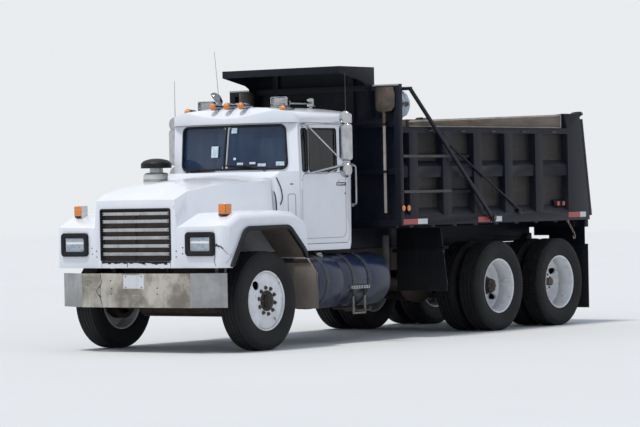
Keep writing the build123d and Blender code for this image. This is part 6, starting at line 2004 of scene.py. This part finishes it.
hoodSet = {
    "holes": (
        (0.635, 1.129), (0.633, 1.066), (0.559, 1.092), (0.557, 1.031), (-0.624, 1.129), (-0.62, 1.066),
        (-0.548, 1.096), (-0.546, 1.034)),
    "chips": (
        (3.68, 1.062, 1.158, 0.012), (3.674, 1.082, 1.146, 0.016), (3.664, 1.104, 1.15, 0.012),
        (3.645, 1.128, 1.128, 0.01)),
    "strip": (0.478, 0.982),
    "arch": [
        (3.54, 0.6), (3.54, 0.92), (3.295, 1.3), (2.55, 1.305), (2.28, 1.05), (2.245, 0.976), (2.245, 0.6)],
    "archCorner": 0.11,
    "cracks": (
        (((3.7105, 1.058, 1.06), (3.682, 1.067, 1.039), (3.683, 1.04, 0.987), (3.681, 1.069, 0.934)), 0.0024),
        (((3.679, 1.086, 1.15), (3.661, 1.126, 1.144), (3.641, 1.149, 1.101), (3.604, 1.172, 1.052),
        (3.555, 1.181, 1.046)), 0.0026), (((3.564, 1.181, 1.035), (3.593, 1.176, 0.994),
        (3.622, 1.164, 0.963)), 0.002), (((3.681, 1.075, 1.166), (3.672, 1.107, 1.134)), 0.0065),
        (((3.669, 1.112, 1.146), (3.649, 1.142, 1.117)), 0.006), (((3.7105, 0.534, 1.574),
        (3.703, 0.558, 1.47)), 0.002), (((3.712, -0.129, 0.976), (3.7112, -0.104, 0.95),
        (3.7112, -0.126, 0.924)), 0.003), (((3.712, 0.115, 0.968), (3.7112, 0.139, 0.94)), 0.003)),
}


def makeHoodDetails():
    part = Part("hoodDetails", "hood", "trim_black").use(trimBlack)
    # black plugs stand in for open holes beside the lamps: painted shade
    for y, z in hoodSet["holes"]:
        x = 3.71 if abs(y) < 0.56 else 3.71 - (abs(y) - 0.56) * 0.2
        part.rod((x - 0.006, y, z), (x + 0.0012, y, z), 0.0075, sides=12)
    for x, y, z, size in hoodSet["chips"]:
        part.box(
            (x - size, y - 0.0018, z - size * 0.6), (x + size, y + 0.0018, z + size * 0.6), 0.0, 1,
            Matrix.Rotation(math.radians(-50), 4, "Z"))
    half, high = hoodSet["strip"]
    for number in range(22):
        y = -half + (number + 0.5) * 2 * half / 22
        drop = random.uniform(0.0, 0.022)
        part.box((3.7098, y - half / 22, high - 0.012 - drop), (3.7125, y + half / 22, high), 0.0008, 1)
    for side in (1, -1):
        part.box((3.7095, side * half - 0.002, 0.916), (3.7108, side * half + 0.002, 0.984), 0.0, 1)
        # latch at the foot of the hood's back edge
        part.use(darkSteel).box((2.262, side * 0.792, 1.185), (2.33, side * 0.806, 1.225), 0.004)
        latch = ((2.3, 0.812, 1.205), (2.262, 0.815, 1.205), (2.23, 0.8, 1.205))
        part.use(trimBlack).pipe(sided(latch, side), 0.008, 8)
        part.nut((2.31, side * 0.806, 1.205), (0, side, 0), 0.02, 0.008, 0.0)
    for path, radius in hoodSet["cracks"]:
        part.use(trimBlack).pipe(path, radius, 4)
    # liner of each wheel arch, with the rubber flare's lip along its outer edge
    arch = rounded(hoodSet["arch"], hoodSet["archCorner"])
    arch = [point for point in arch if point.y > (0.93 if point.x > 2.9 else 0.984)]
    middle = Vector((2.9, 0.8))
    inner = [point + (middle - point).normalized() * 0.002 for point in arch]
    outer = [point + (middle - point).normalized() * 0.007 for point in arch]
    for side in (1, -1):
        for finish, near, far in ((wheelWell, 0.8, 1.172), (trimBlack, 1.1725, 1.2065)):
            outline = [(point.x, side * near, point.y) for point in inner + outer[::-1]]
            part.use(finish).plate(outline, (0, side * (far - near), 0), 0.0)
    part.done()


makeHoodDetails()

# Small parts of the load body. Tape on the bottom rail is given by the x of both ends and its finish.
bodyDetailSet = {
    "frontTape": (
        (0.399, 0.107, tapeRed), (0.107, -0.089, tapeWhite), (-1.156, -1.407, tapeRed),
        (-1.44, -1.67, tapeWhite)),
    "rearTape": ((-3.189, -3.464, tapeRed), (-3.464, -3.6, tapeWhite)),
    "frontHeights": (1.303, 1.364),
    "rearHeights": (1.322, 1.386),
    "wornStrips": (-0.598, 0.378, (2.068, 1.662)),      # x of both ends, foot of each
    "ribs": (2.71, 3.394, 4.048, 4.721, 5.407),
    "ribWelds": ((1.49, 1.84), (2.03, 2.35)),
    "boardTop": [(0.198, 2.4925), (-2.94, 2.5845), (-3.112, 2.5985)],
    "hooks": (3.05, 3.72, 4.38, 5.06, 5.74),
    "chain": (-3.205, 1.196, 1.282),
}


def makeBodyDetails():
    values = bodyDetailSet
    part = Part("bodyDetails", "bed", "body_black")
    for side in (1, -1):
        for word in ("front", "rear"):
            low, high = values[f"{word}Heights"]
            for start, end, finish in values[f"{word}Tape"]:
                part.use(finish).box((end, side * 1.2188, low), (start, side * 1.22, high), 0.0)
        rear, front, feet = values["wornStrips"]
        for z in feet:
            part.use(wornBar).box((rear, side * 1.2185, z), (front, side * 1.223, z + 0.03), 0.001, 1)
        # painted sunlit highlight along the top of the front wall
        part.use(paleEdgeAndSunlitTop).box((0.44, side * 0.85, 2.89), (0.443, side * 1.215, 2.905), 0.001, 1)
        # welds at the feet and heads of the ribs
        part.use(bodyBlack)
        for behind in values["ribs"]:
            for edge in (-0.085, 0.085):
                x = back(behind) + edge
                for low, high in values["ribWelds"]:
                    part.rod((x, side * 1.134, low), (x, side * 1.134, high), 0.005, sides=5)
        # pale strips along the side boards' edges; the one along their tops is a painted sunlit highlight
        part.use(paleEdgeAndSunlitTop)
        top = values["boardTop"]
        strip = top + [(x, z - 0.019) for x, z in reversed(top)]
        part.plate([(x, side * 1.1805, z) for x, z in strip], (0, side * 0.004, 0), 0.0)
        part.box((-3.112, side * 1.1805, 2.4215), (0.198, side * 1.1845, 2.433), 0.001, 1)
        part.box((-3.112, side * 1.1805, 2.433), (-3.094, side * 1.1845, 2.578), 0.001, 1)
        # lashing hooks under the top rail
        for behind in values["hooks"]:
            x = back(behind)
            hook = (
                (x - 0.03, 1.215, 2.372), (x - 0.03, 1.238, 2.372), (x - 0.01, 1.242, 2.372),
                (x + 0.05, 1.24, 2.372))
            part.use(darkSteel).pipe(sided(hook, side), 0.006, 8)
        # caps of the gate's pins
        part.use(boltGrey).rod((-3.541, side * 1.219, 2.6), (-3.541, side * 1.226, 2.6), 0.02, sides=16)
        part.rod((-1.41, side * 1.288, 1.35), (-1.41, side * 1.294, 1.35), 0.026, sides=16)
        # apron under the rear overhang
        part.use(bodyBlack).box((-3.678, side * 0.64, 1.196), (-3.61, side * 1.205, 1.292), 0.003)
        part.box((-3.593, side * 0.46, 1.095), (-3.587, side * 0.685, 1.292), 0.001, 1)
        part.box((-3.593, side * 0.68, 0.977), (-3.587, side * 1.205, 1.292), 0.001, 1)
    # short chain with its hook under the left rail
    place = Vector(values["chain"])
    for number in range(6):
        place = place + Vector((-0.022, 0.0, -0.024))
        across = Vector((0, 0.011, 0)) if number % 2 else Vector((0.008, 0, -0.008))
        part.use(rustyLink).pipe(
            ring(place, across, Vector((-0.012, 0, -0.0135)), 0.0095, 3), 0.004, 5, closed=True)
    hook = (
        (-0.01, -0.01), (-0.026, -0.028), (-0.04, -0.062), (-0.012, -0.084), (0.018, -0.066), (0.01, -0.044))
    part.pipe([place + Vector((x, 0, z)) for x, z in hook], 0.0065, 8)
    part.box((-3.216, 1.183, 1.262), (-3.19, 1.209, 1.29), 0.003)
    part.done()


makeBodyDetails()


# Bolts along the frame, spring clamps, shackles and brake chambers
chassisSet = {
    "members": (-0.62, 1.85, 2.7, 3.7, 4.83, 5.53, 6.36),
    "chamber": [
        (0.0, 0.0), (0.0, 0.045), (0.01, 0.068), (0.038, 0.078), (0.044, 0.084), (0.056, 0.084),
        (0.062, 0.078), (0.1, 0.07), (0.118, 0.045), (0.12, 0.0)],
}


def makeChassisDetails():
    part = Part("chassisDetails", "chassis", "chassis_black")
    for behind in chassisSet["members"]:
        for side in (1, -1):
            for along in (-0.022, 0.022):
                for z in (0.82, 0.89, 0.96):
                    part.use(boltGrey).nut(
                        (back(behind) + along, side * 0.431, z), (0, side, 0), 0.024, 0.013, 0.006)
    for side in (1, -1):
        for end in (-0.062, 0.062):
            for y in (0.358, 0.442):
                part.use(darkSteel).rod(
                    (frontAxleX + end, side * y, 0.44), (frontAxleX + end, side * y, 0.585), 0.01, sides=10)
                part.use(boltGrey).nut((frontAxleX + end, side * y, 0.456), (0, 0, -1), 0.026, 0.014, 0.008)
        for end in (-0.69, 0.69):
            part.use(boltGrey).nut((frontAxleX + end, side * 0.445, 0.607), (0, side, 0), 0.034, 0.014, 0.006)
        part.use(frameBlack)
        for axle in (firstDriveX, secondDriveX):
            for forward in (1, -1):
                part.lathe(
                    chassisSet["chamber"], (axle + forward * 0.14, side * 0.325, 0.64),
                    (forward * 0.85, 0, 0.3), 28)
                part.rod(
                    (axle + forward * 0.02, side * 0.325, 0.6), (axle + forward * 0.16, side * 0.325, 0.645),
                    0.016, sides=12)
            for along in (-0.055, 0.055):
                for y in (0.465, 0.535):
                    part.use(boltGrey).nut((axle + along, side * y, 0.455), (0, 0, -1), 0.022, 0.012, 0.01)
            part.use(frameBlack)
        part.lathe(chassisSet["chamber"], (frontAxleX + 0.1, side * 0.6, 0.56), (0.9, 0, 0.25), 24)
        part.rod(
            (frontAxleX + 0.02, side * 0.6, 0.53), (frontAxleX + 0.12, side * 0.6, 0.566), 0.018, sides=12)
    for axle in (firstDriveX, secondDriveX):
        for number in range(10):
            turn = math.tau * number / 10
            place = Vector((axle + 0.175, 0.13 * math.cos(turn), axleZ + 0.03 + 0.13 * math.sin(turn)))
            part.use(boltGrey).nut(place - Vector((0.02, 0, 0)), (1, 0, 0), 0.024, 0.03, 0.0)
    part.use(darkSteel)
    for y, z, radius in ((0.405, 0.88, 0.009), (-0.405, 0.9, 0.012)):
        line = ((3.2, 0.0), (2.4, 0.004), (1.0, 0.0), (-0.6, 0.004), (-3.2, 0.0))
        part.pipe([(x, y, z + rise) for x, rise in line], radius, 6)
    part.use(boltGrey)
    for z in (0.868, 0.912):
        for y in (-0.043, 0.043):
            part.rod((-3.572, y, z), (-3.566, y, z), 0.006, sides=12)
    part.done()


makeChassisDetails()
print("trim and small parts built")


# Studio: pale floor and background, one soft sun and an even sky
def makeStudio():
    world = bpy.data.worlds.new("studio")
    world.use_nodes = True
    world.node_tree.nodes.clear()
    sky = Sheet.__new__(Sheet)
    sky.tree = world.node_tree
    camera, glossy, through = (
        sky.node("ShaderNodeLightPath", {}, {}, f"Is {ray} Ray")
        for ray in ("Camera", "Glossy", "Transmission"))
    # one colour for the light that the sky gives, and a paler one where it is seen
    colour = sky.blend((camera + glossy + through).held(), (0.53, 0.6, 0.72), (0.82, 0.84, 0.86))
    shader = sky.node("ShaderNodeBackground", {}, {0: colour, 1: 1.0})
    sky.node("ShaderNodeOutputWorld", {}, {0: shader})
    bpy.context.scene.world = world
    sun = bpy.data.objects.new("sun", bpy.data.lights.new("sun", "SUN"))
    sun.data.energy = 2.25
    sun.data.angle = math.radians(9)
    sun.data.color = (1.0, 0.97, 0.93)
    sun.rotation_euler = Vector((-0.36, 0.06, -1.0)).to_track_quat("-Z", "Y").to_euler()
    bpy.context.scene.collection.objects.link(sun)
    shape = bmesh.new()
    bmesh.ops.create_grid(shape, x_segments=4, y_segments=4, size=70)
    mesh = bpy.data.meshes.new("floor")
    shape.to_mesh(mesh)
    shape.free()
    ground = Sheet("floor")
    tone = ground.cloud(3.0, 3.0)
    colour = ground.blend(tone, (0.62, 0.62, 0.61), (0.66, 0.66, 0.65))
    mesh.materials.append(ground.finish({"Base Color": colour, "Roughness": 0.9}))
    floor = bpy.data.objects.new("floor", mesh)
    floor.location.z = -0.001
    bpy.context.scene.collection.objects.link(floor)


makeStudio()
print("studio lit")
